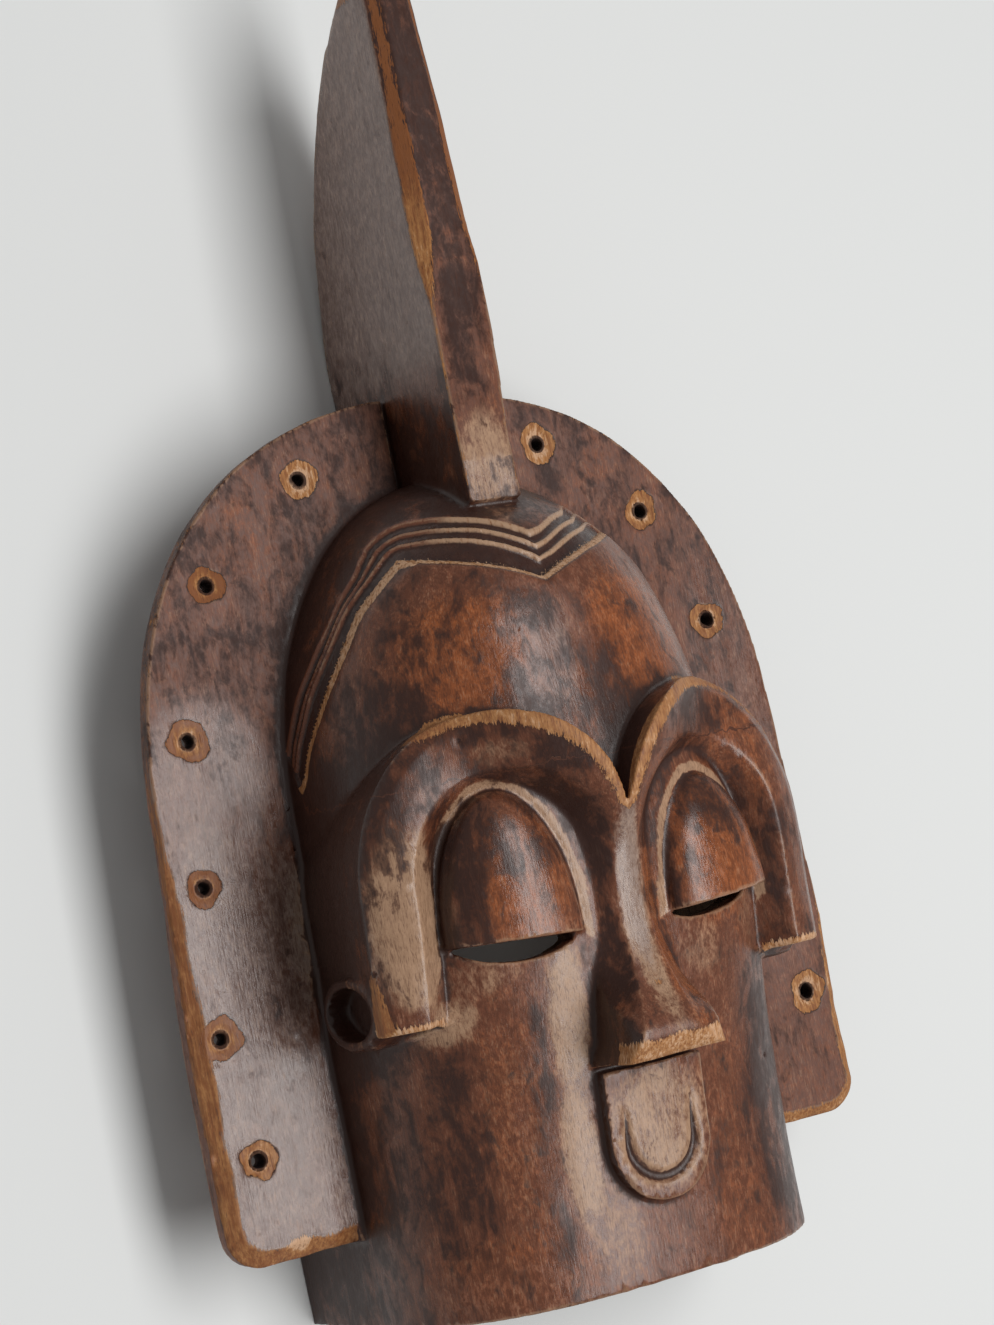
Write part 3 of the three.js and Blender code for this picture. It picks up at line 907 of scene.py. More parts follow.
    def find_collar_edge(self):
        """Distance in from the collar's outer edge."""
        y = self.y
        power = COLLAR_SQUARENESS
        share = np.clip((y - COLLAR_SPRING_Y) / COLLAR_RISE, 0, 1)
        across = self.side / COLLAR_TOP_HALF
        ratio = (across**power + share**power) ** (1 / power) + 1e-9
        slope_x = (across / ratio) ** (power - 1) / COLLAR_TOP_HALF
        slope_y = (share / ratio) ** (power - 1) / COLLAR_RISE
        round_part = (1 - ratio) / (np.hypot(slope_x, slope_y) + 1e-9)
        straight = np.clip((y - COLLAR_STRAIGHT_Y) / (COLLAR_SPRING_Y - COLLAR_STRAIGHT_Y), 0, 1)
        side = COLLAR_HALF - (COLLAR_HALF - COLLAR_TOP_HALF) * straight - self.side
        bottom = y - COLLAR_BOTTOM_Y
        corner_x = COLLAR_CORNER - side
        corner_y = COLLAR_CORNER - bottom
        corner = COLLAR_CORNER - np.hypot(np.maximum(corner_x, 0), np.maximum(corner_y, 0))
        in_corner = (corner_x > 0) & (corner_y > 0)
        low = np.where(in_corner, corner, np.minimum(side, bottom))
        return np.where(y > COLLAR_SPRING_Y, round_part, low)

    def find_collar(self):
        """1 on the collar's front, back and outer edge."""
        front = self.carver.collar_front
        level = (self.z < front + 1.2) & (self.z > front - self.carver.size("collar_thickness") - 1)
        beside = np.where(self.y > 297, CREST_HALF + 1.8, half_width(self.y) + 2.6)
        return (level & (self.side > beside) & (self.y > COLLAR_BOTTOM_Y - 1)).astype(float)

    def find_cord_hole(self):
        """Distance from the middle of the nearest cord hole, and which hole it is."""
        holes = np.array(CORD_HOLES)
        apart = np.hypot(self.x[:, None] - holes[:, 0], self.y[:, None] - holes[:, 1])
        nearest = apart.argmin(axis=1)
        return apart[np.arange(len(apart)), nearest], nearest

    def find_ring(self):
        """How far a point lies inside the lobed outline of its hole's worn ring."""
        holes = np.array(CORD_HOLES)[self.hole_index]
        angle = np.arctan2(self.y - holes[:, 1], self.x - holes[:, 0])
        turn = self.hole_index * 1.7
        lobes = 0.5 * np.sin(2 * angle + turn) + 0.4 * np.sin(3 * angle - 2.3 * turn)
        lobes += 0.3 * np.sin(5 * angle + 3.1 * turn) + 0.8 * noise(self.points, 3.6, 8)
        size = self.carver.size("worn_ring") * (1.0 + 0.08 * np.sin(turn * 2.1))
        ring = size + lobes - self.hole
        by_front = (self.collar > 0) & (self.z > self.carver.collar_front - 3)
        return np.where(by_front, ring, -5.0)

    def collar_wear(self):
        """Width of the worn chamfer on the collar's outer edge."""
        low = np.where(self.left, 1 - smooth(95, 225, self.y), 1 - smooth(75, 130, self.y))
        ragged = 1.0 * noise(self.points, (9, 13, 9), 11) + 0.5 * noise(self.points, (4, 6, 4), 12)
        return mix(-0.5, np.where(self.left, 5.6, 4.0), low) + ragged * mix(0.4, 1, low)

    def heights(self, spread):
        """Mean height of the front around each point, within the spread."""
        i = np.rint((self.x - GRID_LEFT) / GRID_CELL).astype(int)
        j = np.rint((self.y - GRID_LOW) / GRID_CELL).astype(int)
        top = np.zeros(GRID_CELLS)
        np.maximum.at(top, (i, j), self.z)
        reach = int(3 * spread / GRID_CELL)
        kernel = np.exp(-0.5 * (np.arange(-reach, reach + 1) * GRID_CELL / spread) ** 2)
        kernel /= kernel.sum()
        for axis in (0, 1):
            top = np.apply_along_axis(np.convolve, axis, top, kernel, "same")
        return top[i, j]


def carve(surface):
    """Moves the skin's points for the fine carving, the worn edges and the marks of the knife."""
    points, normals, carver = surface.points, surface.normals, surface.carver
    outside = 1 - surface.inside
    move = np.zeros(len(points))

    # Grooves between the ridges of hair.
    nearest = np.abs((surface.band + 0.5) % 1.0 - 0.5) * surface.gap
    near_line = np.where(surface.band < 0.5, 9.0, nearest)
    half = carver.size("ridge_width") / 2
    in_band = (surface.hair > 0.25) & (surface.band < 3.0)
    depth = carver.size("ridge_depth") * np.clip(surface.gap / 5, 0.45, 1)
    move -= depth * smooth(half - 0.15, half + 0.55, near_line) * in_band

    # Groove in the mouth, lip under the brows and line around the lids.
    move -= GROOVE_DEPTH * (1 - smooth(-1.3, 0.5, surface.from_groove())) * surface.on_mouth
    lip_x = np.clip(surface.side, LIP_START, LIP_START + LIP_LENGTH) - LIP_START
    lip_y = mix(*LIP_Y, lip_x / LIP_LENGTH) - LIP_SAG * np.sin(np.pi * lip_x / LIP_LENGTH)
    lip = np.hypot(surface.side - (lip_x + LIP_START), surface.y - lip_y)
    move += LIP_HEIGHT * (1 - smooth(0.4, 1.7, lip)) * (surface.z > 70) * outside
    by_lid = (surface.y > LID_Y) & (surface.front > 0.2) & (np.abs(surface.z - 120) < 12)
    move -= 0.45 * (1 - smooth(0.5, 1.6, np.abs(surface.from_lid() - 0.5))) * by_lid

    # Dished and roughened cord holes.
    ring = surface.ring + 0.4 * noise(points, 1.8, 5)
    facing = smooth(0.3, 0.8, surface.facing)
    move -= smooth(-0.3, 0.6, ring) * mix(0.5, 1.3, smooth(6.5, 3.0, surface.hole)) * facing
    in_hole = (surface.hole < 4) * (surface.collar > 0) * (1 - facing)
    move -= 0.45 * noise(points, (2.4, 2.4, 12), 9) * in_hole

    # Marks of the knife, dents and the gouged hollow.
    waves = noise(points, 26, 1) + 0.5 * noise(points, 11, 2)
    move += carver.size("unevenness") * waves * outside
    move += 0.12 * noise(points, (5, 16, 5), 3) * outside
    for x, y, radius, depth in NICKS:
        apart = np.hypot(surface.x - x, surface.y - y)
        move -= depth * (1 - smooth(0.3 * radius, 1.3 * radius, apart)) * surface.front
    scoop = np.abs(noise(points, (9, 26, 9), 4))
    move += surface.inside * (1.1 * scoop - 0.4)
    moved = points + normals * move[:, None]

    # Worn edge of the collar.
    cut = np.clip(surface.collar_wear() - np.maximum(surface.collar_in, 0), 0, 8) * 0.75
    worn = (surface.collar > 0) & (surface.z > carver.collar_front - 7)
    top = carver.collar_front - cut
    moved[:, 2] = np.where(worn, np.minimum(moved[:, 2], top), moved[:, 2])
    return np.clip(moved, (-COLLAR_HALF, 0.0, 0.0), (COLLAR_HALF, HEIGHT, NOSE_TIP))


def patches(surface, patches_of):
    """The strongest of the soft patches at each point, on the front."""
    strongest = np.zeros(len(surface.x))
    for x, y, across, up, strength in patches_of:
        apart = np.hypot((surface.x - x) / across, (surface.y - y) / up)
        strongest = np.maximum(strongest, strength * (1 - smooth(0.55, 1.35, apart)))
    return strongest * smooth(-0.1, 0.5, surface.facing)


def wear_of(surface):
    """How far each point lies inside a worn area, in millimetres, and how fresh the wear is."""
    x, y, z = surface.points.T
    side, left = surface.side, surface.left
    front = surface.carver.collar_front
    worn = np.full(len(x), -9.0)
    fresh = np.zeros(len(x))

    def add(where, inside_by, freshness):
        inside_by = np.where(where, inside_by, -9)
        higher = inside_by > worn
        worn[higher] = inside_by[higher]
        fresh[higher] = np.broadcast_to(freshness, worn.shape)[higher]

    # Outer edges and lower ends of the brows.
    raised = z - (brow_edge_z(side, y) - 7.0)
    edge_in = arch_distance(BROW_OUTER, x, y)
    band = np.interp(side, *np.array(BROW_BAND).T)
    wedge = 3.0 * smooth(122, 104, y) * left
    band = np.where((side > 70) & (y < 165), 0.8 + wedge, band)
    band -= 3.2 * smooth(60, 70, side) * smooth(122, 132, y) * left
    brow = np.minimum(band - edge_in, edge_in + 1.3) + 3 * np.minimum(raised, 0)
    on_brow = (y > BROW_END_Y - 1) & (z > surface.face_level - 8)
    add(on_brow, brow, mix(0.5, 0.2, smooth(46, 66, side)))
    bottom = np.minimum(2.4 - (y - BROW_END_Y), 1.4 + raised)
    on_end = (y > BROW_END_Y - 1.5) & (edge_in > 0) & (side > 60) & (z > surface.face_level + 2)
    add(on_end, bottom, 0.85)

    # Front edges and tip of the crest.
    high = np.interp(y, *CREST_FRONT_LINE.T)
    corner = crest_cut(y, left) + 0.5 - np.maximum(crest_half(y, left) - side, high - z)
    corner = corner - 1.6 * smooth(412, 448, y)
    brightness = mix(np.where(left, 0.45, 0.1), -0.3, smooth(385, 425, y))
    add((y > 290) & (z > 60), corner, brightness)
    add(y > 440, (y - 482) * 0.8, 0.3)

    # Outer edge of the collar, with a chip at its lower left end.
    rim = surface.collar_wear() - surface.collar_in + 0.2
    brightness = np.where(left, mix(0.3, 0.15, smooth(40, 150, y)), 0.5)
    add((surface.collar > 0) & (z > front - 6), rim, brightness)
    chip = 4.5 - np.hypot((x + 110) / 1.5, y - 34.5)
    add(surface.collar > 0, chip, 1.0)

    # Hairline over the forehead and down its sides.
    from_top = hair_top_y(x) - y
    top_line = np.minimum(2.0 - from_top, 0.4 + from_top)
    add((z > 50) & (side < HAIR_CORNER_X) & (y > 245), top_line, 0.9)
    on_side = (side > along(HAIR_SIDE, y) - 7) & (y < 266)
    on_bevel = mix(3.2, 5.2, smooth(205, 255, y)) * smooth(275, 265, y)
    bevel = np.where(on_side, on_bevel * np.where(left, 1, 0.25), 2.2)
    hairline = np.where(surface.hair < 0, bevel + surface.hair, 0.3 - surface.hair)
    add(z > 50, hairline, np.where(on_side & left, mix(0.55, 1.0, smooth(205, 258, y)), 0.9))

    # Lower edge of the nose.
    upper = 86.0 + 0.9 * noise(surface.points, (5, 5, 5), 21)
    add((z > 136) & (side < 22), upper - y, 0.7)
    ring_fresh = np.array(HOLE_FRESHNESS)[surface.hole_index]
    return worn, np.where(surface.ring > -2, ring_fresh, fresh)


def hollow_dirt_and_shade_of(surface):
    """How far each point lies below the front around it; this darkens the wood as dirt and painted shade in
    hollows.
    """
    below = surface.heights(6) - surface.z
    deep = surface.heights(16) - surface.z
    hollow_dirt_and_shade = 0.5 * np.clip(below / 7, -0.4, 1) + 0.6 * np.clip((deep - 6) / 26, 0, 1)
    hollow_dirt_and_shade = np.where(surface.on_crest, hollow_dirt_and_shade * 0.35, hollow_dirt_and_shade)
    hollow_dirt_and_shade = np.where(surface.collar > 0, hollow_dirt_and_shade * 0.15, hollow_dirt_and_shade)
    return averaged(hollow_dirt_and_shade, surface.edges, 3)


def stains_and_shade_of(surface, lid_rim, crest_side, crest_front):
    """Darkening: dark patina in patches; darker towards the collar's top, in the mouth's groove, by the
    ears, past the hair and above the lids; painted shade on the steep flanks, on walls facing left away
    from the light and low on the crest's sides; patina and painted shade together low on the face's sides
    and on the nose's left side.
    """
    y, z, side, facing = surface.y, surface.z, surface.side, surface.facing
    off_collar = 1 - surface.collar
    outside = 1 - surface.inside
    # Painted shade on the steep flanks of the brows and the face's sides, which turn away from the light.
    flank = smooth(0.75, 0.35, facing) * smooth(98, 104, y) * smooth(215, 190, y)
    flank = flank * (side > 60) * (z > 47) * off_collar * outside
    above_hair = smooth(3.0, 3.4, surface.band) * smooth(60, 70, z) * (surface.band < 9)
    by_ear = (side > 80) & (y > 88) & (y < 132) & (z > 50) & (z < 100)
    # Painted shade on walls facing left, away from the light; by the nose it is patina and painted shade
    # together.
    left_wall_shade = smooth(0.4, 0.8, -surface.normals[:, 0]) * smooth(88, 98, z)
    nose_side_patina_and_shade = left_wall_shade * smooth(38, 24, side) * (surface.x < 30)
    socket = smooth(121, 126, z) * smooth(140, 134, z) * (y > 150) * surface.front
    stains_and_shade = [
        patches(surface, DARK_PATCHES) * (1 - 0.85 * surface.collar),
        # Patina and painted shade together, darker low on the face's sides towards the collar.
        0.6 * smooth(96, 62, z) * off_collar * outside * ~surface.on_crest,
        0.3 * surface.collar * smooth(185, 235, y),
        # Painted shade low on the crest's sides, near the collar.
        0.9 * crest_side * smooth(350, 315, y),
        1.1 * crest_front * smooth(345, 400, y),
        1.1 * flank,
        1.1 * (1 - smooth(-1.2, 0.5, surface.from_groove())) * surface.on_mouth,
        0.8 * above_hair,
        0.95 * by_ear,
        np.maximum(0.5 * left_wall_shade, 1.1 * nose_side_patina_and_shade) * ~surface.on_crest * (1 - lid_rim),
        0.5 * socket * (1 - lid_rim),
    ]
    return np.maximum.reduce(stains_and_shade)


def attributes_of(surface, normals, moved):
    """Everything that the wood's colours follow."""
    soft = averaged(moved, surface.edges, 5)
    edge = ((moved - soft) * normals).sum(axis=1)
    wide = averaged(soft, surface.edges, 45)
    # Creases darken the wood: dirt and painted shade in them.
    crease_dirt_and_shade = ((wide - moved) * normals).sum(axis=1)

    lid_out = surface.from_lid()
    ragged = lid_out + noise(surface.points, (6, 9, 6), 31)
    lid_rim = smooth(0.0, 1.0, lid_out) * (1 - smooth(2.4, 4.4, ragged))
    lid_rim = lid_rim * (surface.y > 124) * (surface.z < 134) * surface.front
    crest_side = surface.on_crest * smooth(0.7, 0.4, surface.facing)
    crest_front = surface.on_crest * smooth(0.5, 0.8, surface.facing) * (surface.z > 80)
    # Grey on the collar's lower left is dust with painted sheen; grey on the crest's sides is dust with
    # painted reflection of the floor, stronger higher up.
    collar_dust_and_sheen = surface.collar * surface.left * smooth(205, 160, surface.y) * surface.front
    crest_dust_and_reflection = mix(0.2, 1.6, smooth(320, 370, surface.y)) * crest_side
    dust_and_sheen = np.maximum.reduce([patches(surface, DUST_AND_SHEEN_PATCHES), 0.8 * collar_dust_and_sheen, crest_dust_and_reflection])
    dull = np.maximum(surface.collar * (1 - smooth(0.1, 0.5, dust_and_sheen)), 1.8 * crest_front)
    worn, fresh = wear_of(surface)
    return {
        "worn": worn, "fresh": fresh, "ring": surface.ring, "hole": surface.hole,
        "band": surface.band, "gap": surface.gap, "way": surface.way, "dull": dull,
        "crisp": (surface.hair > -9) & (surface.hair < 0.6) & (surface.z > 50),
        "edge": edge, "crease_dirt_and_shade": crease_dirt_and_shade, "hollow_dirt_and_shade": hollow_dirt_and_shade_of(surface),
        "red": patches(surface, RED_PATCHES),
        "tan": np.maximum(patches(surface, TAN_PATCHES), 1.7 * lid_rim),
        "dust_and_sheen": dust_and_sheen, "dark": stains_and_shade_of(surface, lid_rim, crest_side, crest_front),
        "inside": surface.inside,
    }


def finest(surface, worn):
    """1 where the finished piece may be coarse, and near 0 where it must stay fine."""
    keep = smooth(-1.8, -0.6, surface.ring) * smooth(12, 10, surface.hole)
    keep = np.maximum(keep, smooth(3.0, 1.5, np.abs(worn)) * (worn > -2.5))
    in_hair = (surface.band > -0.2) & (surface.band < 3.3) & (surface.z > 47)
    keep = np.maximum(keep, 0.8 * in_hair)
    by_eye = (np.hypot((surface.side - 41) / 26, (surface.y - 148) / 36) < 1) & (surface.z > 100)
    keep = np.maximum(keep, 0.5 * by_eye)
    behind = smooth(0.1, -0.3, surface.facing) * (surface.z < 60)
    return np.clip(1.0 - keep, 0.02, 1) * mix(0.5, 1.0, np.maximum(behind, surface.inside))


class MASK_OT_carve(bpy.types.Operator):
    """Carve the mask, wear its edges and finish its wood"""

    bl_idname = "mask.carve"
    bl_label = "Carve the mask"

    def execute(self, context):
        sizes = context.scene.mask_sizes
        carver = Carver(sizes)
        piece = solid_mask(carver)
        mesh = piece.data
        normals = rows(mesh.vertex_normals, "vector")
        surface = Surface(rows(mesh.vertices, "co"), normals, edges_of(mesh), carver)
        moved = carve(surface)
        mesh.vertices.foreach_set("co", moved.astype(np.float32).ravel())
        mesh.update()
        values = attributes_of(surface, rows(mesh.vertex_normals, "vector"), moved)
        for name, value in values.items():
            layer = mesh.attributes.new(name, "FLOAT", "POINT")
            layer.data.foreach_set("value", value.astype(np.float32))
        group = piece.vertex_groups.new(name="coarse")
        weights = finest(surface, values["worn"])
        levels = np.rint(weights * WEIGHT_STEPS).astype(int)
        for level in np.unique(levels):
            group.add(np.flatnonzero(levels == level).tolist(), level / WEIGHT_STEPS, "REPLACE")
        squares = len(mesh.polygons)
        thin = piece.modifiers.new("Thin", "DECIMATE")
        thin.ratio = min(1.0, sizes.faces_kept / (2 * squares))
        thin.vertex_group = "coarse"
        thin.vertex_group_factor = 1.0
        settle(piece)
        piece.vertex_groups.clear()
        place = Matrix.Translation((0, -HEIGHT * MM / 2, 0)) @ Matrix.Scale(MM, 4)
        piece.data.transform(place)
        inside_box = np.clip(rows(piece.data.vertices, "co"), CAD_LOW, CAD_HIGH)
        piece.data.vertices.foreach_set("co", inside_box.astype(np.float32).ravel())
        piece.data.update()
        piece.data.shade_smooth()
        piece.data.materials.clear()
        piece.data.materials.append(wood_material(context.scene.mask_colours))
        piece.name = "mask_wood"
        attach(piece, "root")
        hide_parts("mask")
        return {"FINISHED"}


class Link:
    """One socket in a material; sums on links add Math nodes."""

    def __init__(self, board, socket):
        self.board = board
        self.socket = socket

    def sum(self, operation, first, second):
        return self.board.node("ShaderNodeMath", {"operation": operation}, {0: first, 1: second})

    def __add__(self, other):
        return self.sum("ADD", self, other)

    def __radd__(self, other):
        return self.sum("ADD", other, self)

    def __sub__(self, other):
        return self.sum("SUBTRACT", self, other)

    def __rsub__(self, other):
        return self.sum("SUBTRACT", other, self)

    def __mul__(self, other):
        return self.sum("MULTIPLY", self, other)

    def __rmul__(self, other):
        return self.sum("MULTIPLY", other, self)


class Board:
    """The nodes of one material."""

    def __init__(self, name):
        self.material = bpy.data.materials.new(name)
        self.material.use_nodes = True
        self.tree = self.material.node_tree
        self.shader = self.tree.nodes["Principled BSDF"]

    def node(self, kind, settings, values, output=0):
        """Adds a node: its settings first, then a value or a link for each socket."""
        made = self.tree.nodes.new(kind)
        for name, value in settings.items():
            setattr(made, name, value)
        for socket, value in values.items():
            self.join(made.inputs[socket], value)
        return Link(self, made.outputs[output])

    def join(self, socket, value):
        if isinstance(value, Link):
            self.tree.links.new(value.socket, socket)
        else:
            socket.default_value = value

    def finish(self, name, value):
        self.join(self.shader.inputs[name], value)

    def attribute(self, name):
        return self.node("ShaderNodeAttribute", {"attribute_name": name}, {}, "Fac")

    def stretched(self, place, size):
        """Coordinates in which the given size, in millimetres, is 1 along each axis."""
        scale = tuple(1 / (MM * part) for part in size)
        return self.node("ShaderNodeVectorMath", {"operation": "MULTIPLY"}, {0: place, 1: scale})

    def noise(self, place, size, detail=3.0, roughness=0.55, distortion=0.0):
        values = {
            "Vector": self.stretched(place, size), "Scale": 1.0, "Detail": detail,
            "Roughness": roughness, "Distortion": distortion,
        }
        return self.node("ShaderNodeTexNoise", {}, values)

    def step(self, low, high, value):
        """Smooth step from 0 at low to 1 at high, or down if low is the higher."""
        settings = {"interpolation_type": "SMOOTHSTEP"}
        values = {0: value, 1: low, 2: high, 3: 0.0, 4: 1.0}
        return self.node("ShaderNodeMapRange", settings, values)

    def blend(self, first, second, factor):
        return self.node("ShaderNodeMix", {"data_type": "RGBA"}, {0: factor, 6: first, 7: second}, 2)

    def larger(self, first, second):
        return self.node("ShaderNodeMath", {"operation": "MAXIMUM"}, {0: first, 1: second})

    def size_of(self, value):
        return self.node("ShaderNodeMath", {"operation": "ABSOLUTE"}, {0: value})

    def to_whole(self, value):
        """Distance from the nearest whole number."""
        near = self.node("ShaderNodeMath", {"operation": "ROUND"}, {0: value})
        return self.size_of(value - near)


def wood_material(colours):
    """Patinated wood with fibres along the mask's height, dirt and painted shade in the hollows, painted
    shade on sides away from the light, grey dust with painted sheen, and golden worn edges.
    """
    board = Board("carved_wood")
    step, blend, attribute = board.step, board.blend, board.attribute
    place = board.node("ShaderNodeTexCoord", {}, {}, "Object")

    def paint(name):
        return (*getattr(colours, name), 1.0)

    def coat(colour, layers):
        """Lays one colour after another over the first: each is a name and how much it covers."""
        for name, cover in layers:
            colour = blend(colour, paint(name), cover)
        return colour

    def sway(*parts):
        """Sum of noises, each drawn about 0 and made stronger by its factor."""
        total = 0.0
        for pattern, strength in parts:
            total = (pattern - 0.5) * strength + total
        return total

    fibre = board.noise(place, (0.45, 4.5, 0.45), 3, 0.6)
    thread = board.noise(place, (0.9, 13, 0.9), 3, 0.6)
    grain = board.noise(place, (2.2, 40, 2.2), 4, 0.6, 0.5)
    mottle = board.noise(place, (1.7, 3.4, 1.7), 5, 0.72)
    cloud = board.noise(place, (7, 13, 7), 5, 0.66, 0.6)
    blotch = board.noise(place, (17, 30, 17), 6, 0.62, 0.9)
    speck = board.noise(place, (3.4, 6.0, 3.4), 6, 0.74, 0.4)
    vein_field = board.noise(place, (7, 26, 7), 4, 0.6, 1.2)
    hewn = board.noise(place, (5, 60, 5), 5, 0.65, 0.8)
    inside = attribute("inside")

    # Patina: colours in soft patches, the grey ones with painted sheen, dark stains with painted shade on
    # sides away from the light, dirt and painted shade in hollows and creases, flecks along the fibres,
    # streaks and fine veins.
    uneven = sway((cloud, 2.4), (speck, 1.8), (mottle, 1.2))
    red = step(0.10, 0.95, attribute("red") * 0.9 + 0.15 + uneven * 0.8)
    tan = step(0.2, 0.95, attribute("tan") + uneven * 0.6)
    # Grey brown: dust with painted sheen and reflection.
    dust_and_sheen = step(0.15, 0.95, attribute("dust_and_sheen") + uneven * 0.5)
    # Dirt and painted shade in hollows, and the dark stains with their painted shade, darken the patina
    # here.
    shade = attribute("dark") * 0.95 + attribute("hollow_dirt_and_shade") * 0.7 + 0.02
    # Dirt and painted shade in creases.
    shade = shade + step(0.25, 1.1, attribute("crease_dirt_and_shade")) * 0.7
    shade = shade + sway((blotch, 2.6), (cloud, 3.0), (speck, 1.6), (mottle, 1.2), (grain, 0.8))
    # The dark stains carry painted shade as well as patina.
    dark = step(-0.15, 1.1, shade - attribute("tan") * 0.6 - attribute("dust_and_sheen") * 0.25)
    veil = step(0.62, 0.40, speck) * 0.35 + step(0.60, 0.44, mottle) * 0.3
    light_flecks = step(0.50, 0.66, fibre) * step(0.40, 0.62, speck)
    dark_flecks = step(0.48, 0.34, fibre)
    streak = step(0.56, 0.68, thread) * step(0.42, 0.62, blotch)
    vein = step(0.045, 0.0, board.size_of(vein_field - 0.5)) * step(0.2, 0.8, attribute("red"))
    colour = coat(paint("brown"), [
        ("red", red), ("tan", tan * 0.9), ("dust_and_sheen", dust_and_sheen * 0.75), ("umber", veil * (1 - tan * 0.6)),
        ("tan", light_flecks * 0.35), ("umber", dark_flecks * 0.5),
        ("umber", step(0.0, 0.5, dark) * 0.75), ("dark", step(0.3, 1.0, dark) * 0.85),
        ("umber", streak * 0.6), ("umber", vein * step(0.40, 0.60, cloud) * 0.6),
    ])

    # Band of hair: dark grooves, with pale ridges over the forehead and brown ones at the sides.
    band = attribute("band")
    ridge = board.to_whole(band) * attribute("gap") + (mottle - 0.5) * 0.5
    in_band = step(0.5, 0.6, band) * step(3.5, 3.3, band)
    groove = step(0.02, 0.08, band) * step(3.04, 2.98, band)
    on_top = step(92, 108, attribute("way"))
    ridge_line = step(1.35, 0.65, ridge) * in_band * step(0.28, 0.42, cloud)
    ridge_colour = blend(paint("amber"), paint("tan"), step(0.25, 0.5, thread))
    colour = blend(colour, paint("dark"), groove * 0.86)
    colour = blend(colour, ridge_colour, ridge_line * on_top * 0.9)
    colour = blend(colour, paint("brown"), ridge_line * (1 - on_top) * 0.75)

    # Bare wood on worn edges and around the cord holes, with a dark border, and painted shade on the walls
    # inside the holes.
    ragged = sway((fibre, 4.4), (mottle, 2.6), (thread, 3.0)) * (1 - attribute("crisp") * 0.72)
    worn = attribute("worn") + ragged
    ring = attribute("ring") + sway((mottle, 2.2), (speck, 1.8), (fibre, 0.8))
    ring_wear = step(-0.12, 0.15, ring)
    bare = board.larger(step(-0.15, 0.35, worn), ring_wear)
    brightness = attribute("fresh") + sway((thread, 1.3), (mottle, 1.2), (speck, 0.9), (cloud, 0.8))
    brightness = brightness + (step(1.0, 5.0, ring) - 0.4) * 0.5 * step(-0.5, 0.0, ring)
    gold = coat(paint("amber"), [
        ("gold", step(-0.05, 0.85, brightness)), ("pale", step(0.62, 1.05, brightness) * 0.85),
        ("amber", step(0.50, 0.34, thread) * 0.6), ("umber", step(0.46, 0.30, fibre) * 0.55),
    ])
    border = board.larger(step(-0.9, -0.1, worn) * 0.55, step(-0.75, -0.1, ring) * 0.9)
    in_hole = step(3.2, 2.6, attribute("hole") + (mottle - 0.5) * 0.9)
    colour = blend(colour, paint("dark"), border)
    colour = blend(colour, gold, bare)
    # Painted shade on the walls inside the cord holes.
    colour = blend(colour, paint("dark"), in_hole * 0.92)

    # Rubbed ridges, and the rough wood of the hollow.
    sharp = step(0.10, 0.28, attribute("edge") + (mottle - 0.5) * 0.22)
    sharp = sharp * (1 - bare) * (1 - inside) * step(0.7, 0.3, dark)
    colour = blend(colour, paint("tan"), sharp * 0.4)
    raw = coat(paint("raw"), [
        ("dark", step(0.42, 0.75, hewn) * 0.75), ("tan", step(0.58, 0.72, fibre) * 0.3),
    ])
    colour = blend(colour, raw, inside)

    height = sway((fibre, 0.05), (thread, 0.07), (mottle, 0.06), (cloud, 0.13))
    height = height - ring_wear * 0.12 + (hewn - 0.5) * inside * 1.2 - bare * (fibre - 0.5) * 0.2
    bump = board.node("ShaderNodeBump", {}, {"Strength": 1.0, "Distance": MM, "Height": height})
    gloss = sway((mottle, 0.4), (speck, 0.4), (cloud, 0.3)) + 0.33
    gloss = gloss + attribute("dull") * 0.27 - attribute("dust_and_sheen") * 0.10 - attribute("red") * 0.13
    rough = board.larger(gloss + bare * 0.25 + dark * 0.08 + inside * 0.35, in_hole * 0.95)
    board.finish("Base Color", colour)
    board.finish("Roughness", rough)
    board.finish("Normal", bump)
    board.finish("Coat Weight", (1 - bare) * (1 - inside) * (1 - in_hole) * 0.06)
    board.finish("Coat Roughness", 0.34)
    return board.material


class MASK_OT_stage(bpy.types.Operator):
    """Lay out the pale floor, the soft lights and the camera"""

    bl_idname = "mask.stage"
    bl_label = "Set the stage"

    def execute(self, context):
        settings = context.scene.mask_stage
        make_floor(settings)
        make_lights(settings)
        make_camera()
        return {"FINISHED"}


def make_floor(settings):
    """The pale floor that the mask lies on."""
    bm = bmesh.new()
    bmesh.ops.create_grid(bm, x_segments=4, y_segments=4, size=FLOOR_HALF)
    mesh = bpy.data.meshes.new("floor")
    bm.to_mesh(mesh)
    bm.free()
    floor = bpy.data.objects.new("floor", mesh)
    bpy.context.scene.collection.objects.link(floor)
    board = Board("floor_paint")
    board.finish("Base Color", (*settings.floor_colour, 1.0))
    board.finish("Roughness", 0.6)
    mesh.materials.append(board.material)


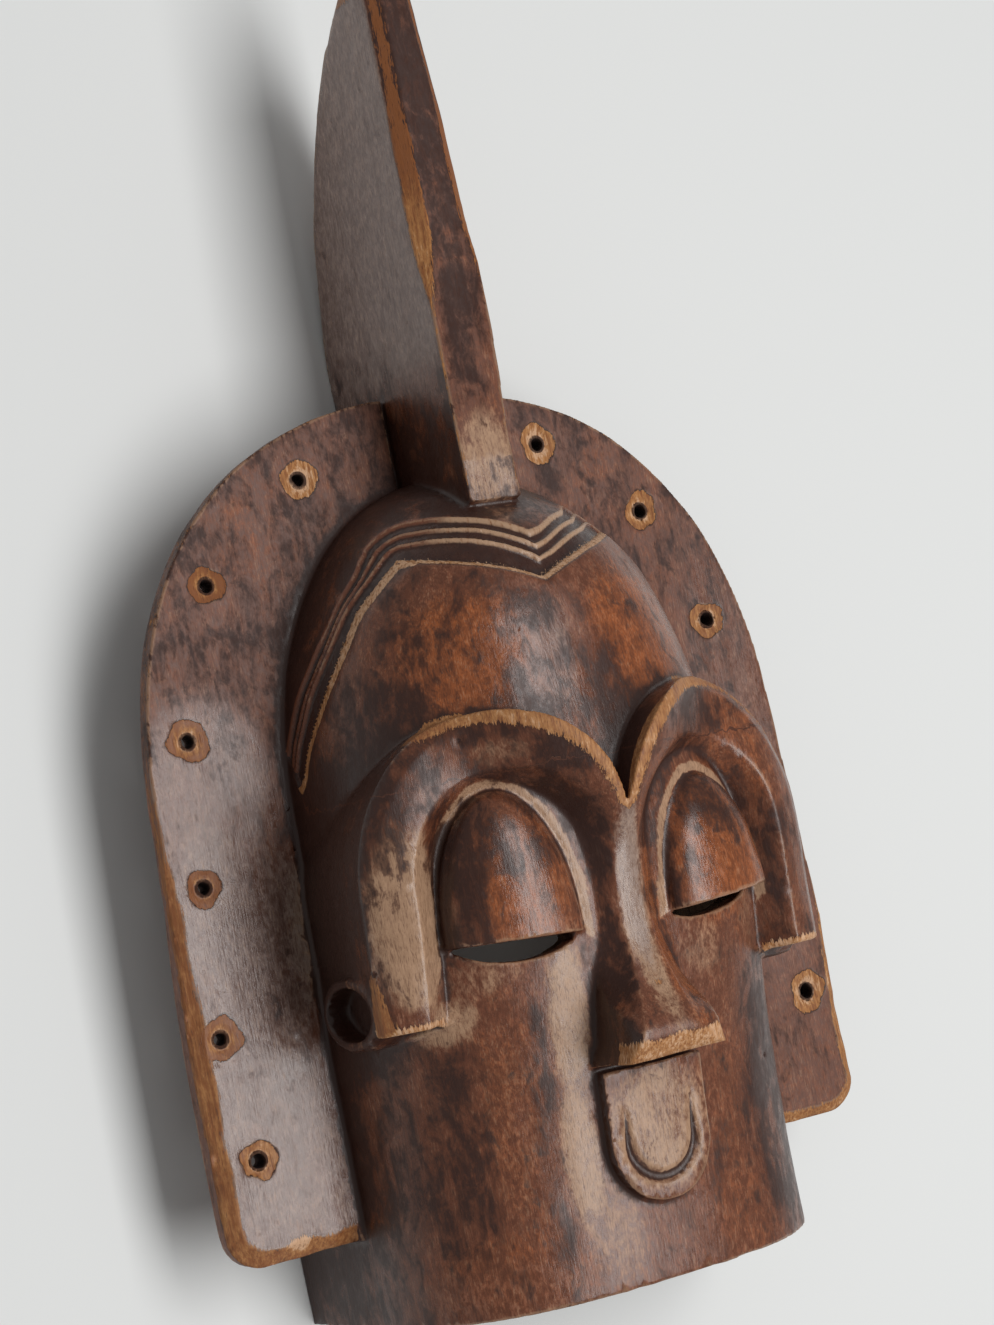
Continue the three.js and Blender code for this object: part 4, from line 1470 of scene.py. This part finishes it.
def make_lights(settings):
    """Weak even light, and one tall window that faces the mask."""
    world = bpy.data.worlds.new("even_light")
    world.use_nodes = True
    sky = world.node_tree.nodes["Background"]
    sky.inputs["Color"].default_value = (1.0, 1.0, 1.0, 1)
    sky.inputs["Strength"].default_value = settings.sky
    bpy.context.scene.world = world
    bpy.context.scene.view_settings.view_transform = "Standard"
    light = bpy.data.lights.new("window_light", "AREA")
    light.shape = "RECTANGLE"
    light.size, light.size_y = settings.window
    light.energy = settings.window_power
    item = bpy.data.objects.new("window_light", light)
    item.location = settings.window_place
    out = item.location.normalized()
    across = Vector((0, 1, 0)).cross(out).normalized()
    item.rotation_euler = Matrix((across, out.cross(across), out)).transposed().to_euler()
    bpy.context.scene.collection.objects.link(item)


def make_camera():
    """The camera stands where the photograph was taken from."""
    camera = bpy.data.cameras.new("camera")
    camera.sensor_width = CAMERA_SENSOR
    camera.lens = CAMERA_LENS
    item = bpy.data.objects.new("camera", camera)
    turn = Matrix((CAMERA_RIGHT, -Vector(CAMERA_DOWN), -Vector(CAMERA_FORWARD))).transposed().to_4x4()
    item.matrix_world = Matrix.Translation(CAMERA_PLACE) @ turn
    bpy.context.scene.collection.objects.link(item)
    bpy.context.scene.camera = item


class MASK_PT_panel(bpy.types.Panel):
    """Sizes, colours and steps of the mask"""

    bl_idname = "MASK_PT_panel"
    bl_label = "Mask"
    bl_space_type = "VIEW_3D"
    bl_region_type = "UI"
    bl_category = "Mask"

    def draw(self, context):
        scene = context.scene
        for settings in (scene.mask_sizes, scene.mask_colours, scene.mask_stage):
            box = self.layout.box()
            for name in settings.__annotations__:
                box.prop(settings, name)
        self.layout.operator(MASK_OT_carve.bl_idname)
        self.layout.operator(MASK_OT_stage.bl_idname)


CLASSES = (MaskSizes, MaskColours, StageSettings, MASK_OT_carve, MASK_OT_stage, MASK_PT_panel)


def register():
    for item in CLASSES:
        bpy.utils.register_class(item)
    bpy.types.Scene.mask_sizes = bpy.props.PointerProperty(type=MaskSizes)
    bpy.types.Scene.mask_colours = bpy.props.PointerProperty(type=MaskColours)
    bpy.types.Scene.mask_stage = bpy.props.PointerProperty(type=StageSettings)


def unregister():
    del bpy.types.Scene.mask_stage
    del bpy.types.Scene.mask_colours
    del bpy.types.Scene.mask_sizes
    for item in reversed(CLASSES):
        bpy.utils.unregister_class(item)


def main():
    register()
    bpy.ops.mask.carve()
    bpy.ops.mask.stage()


if __name__ == "__main__":
    main()
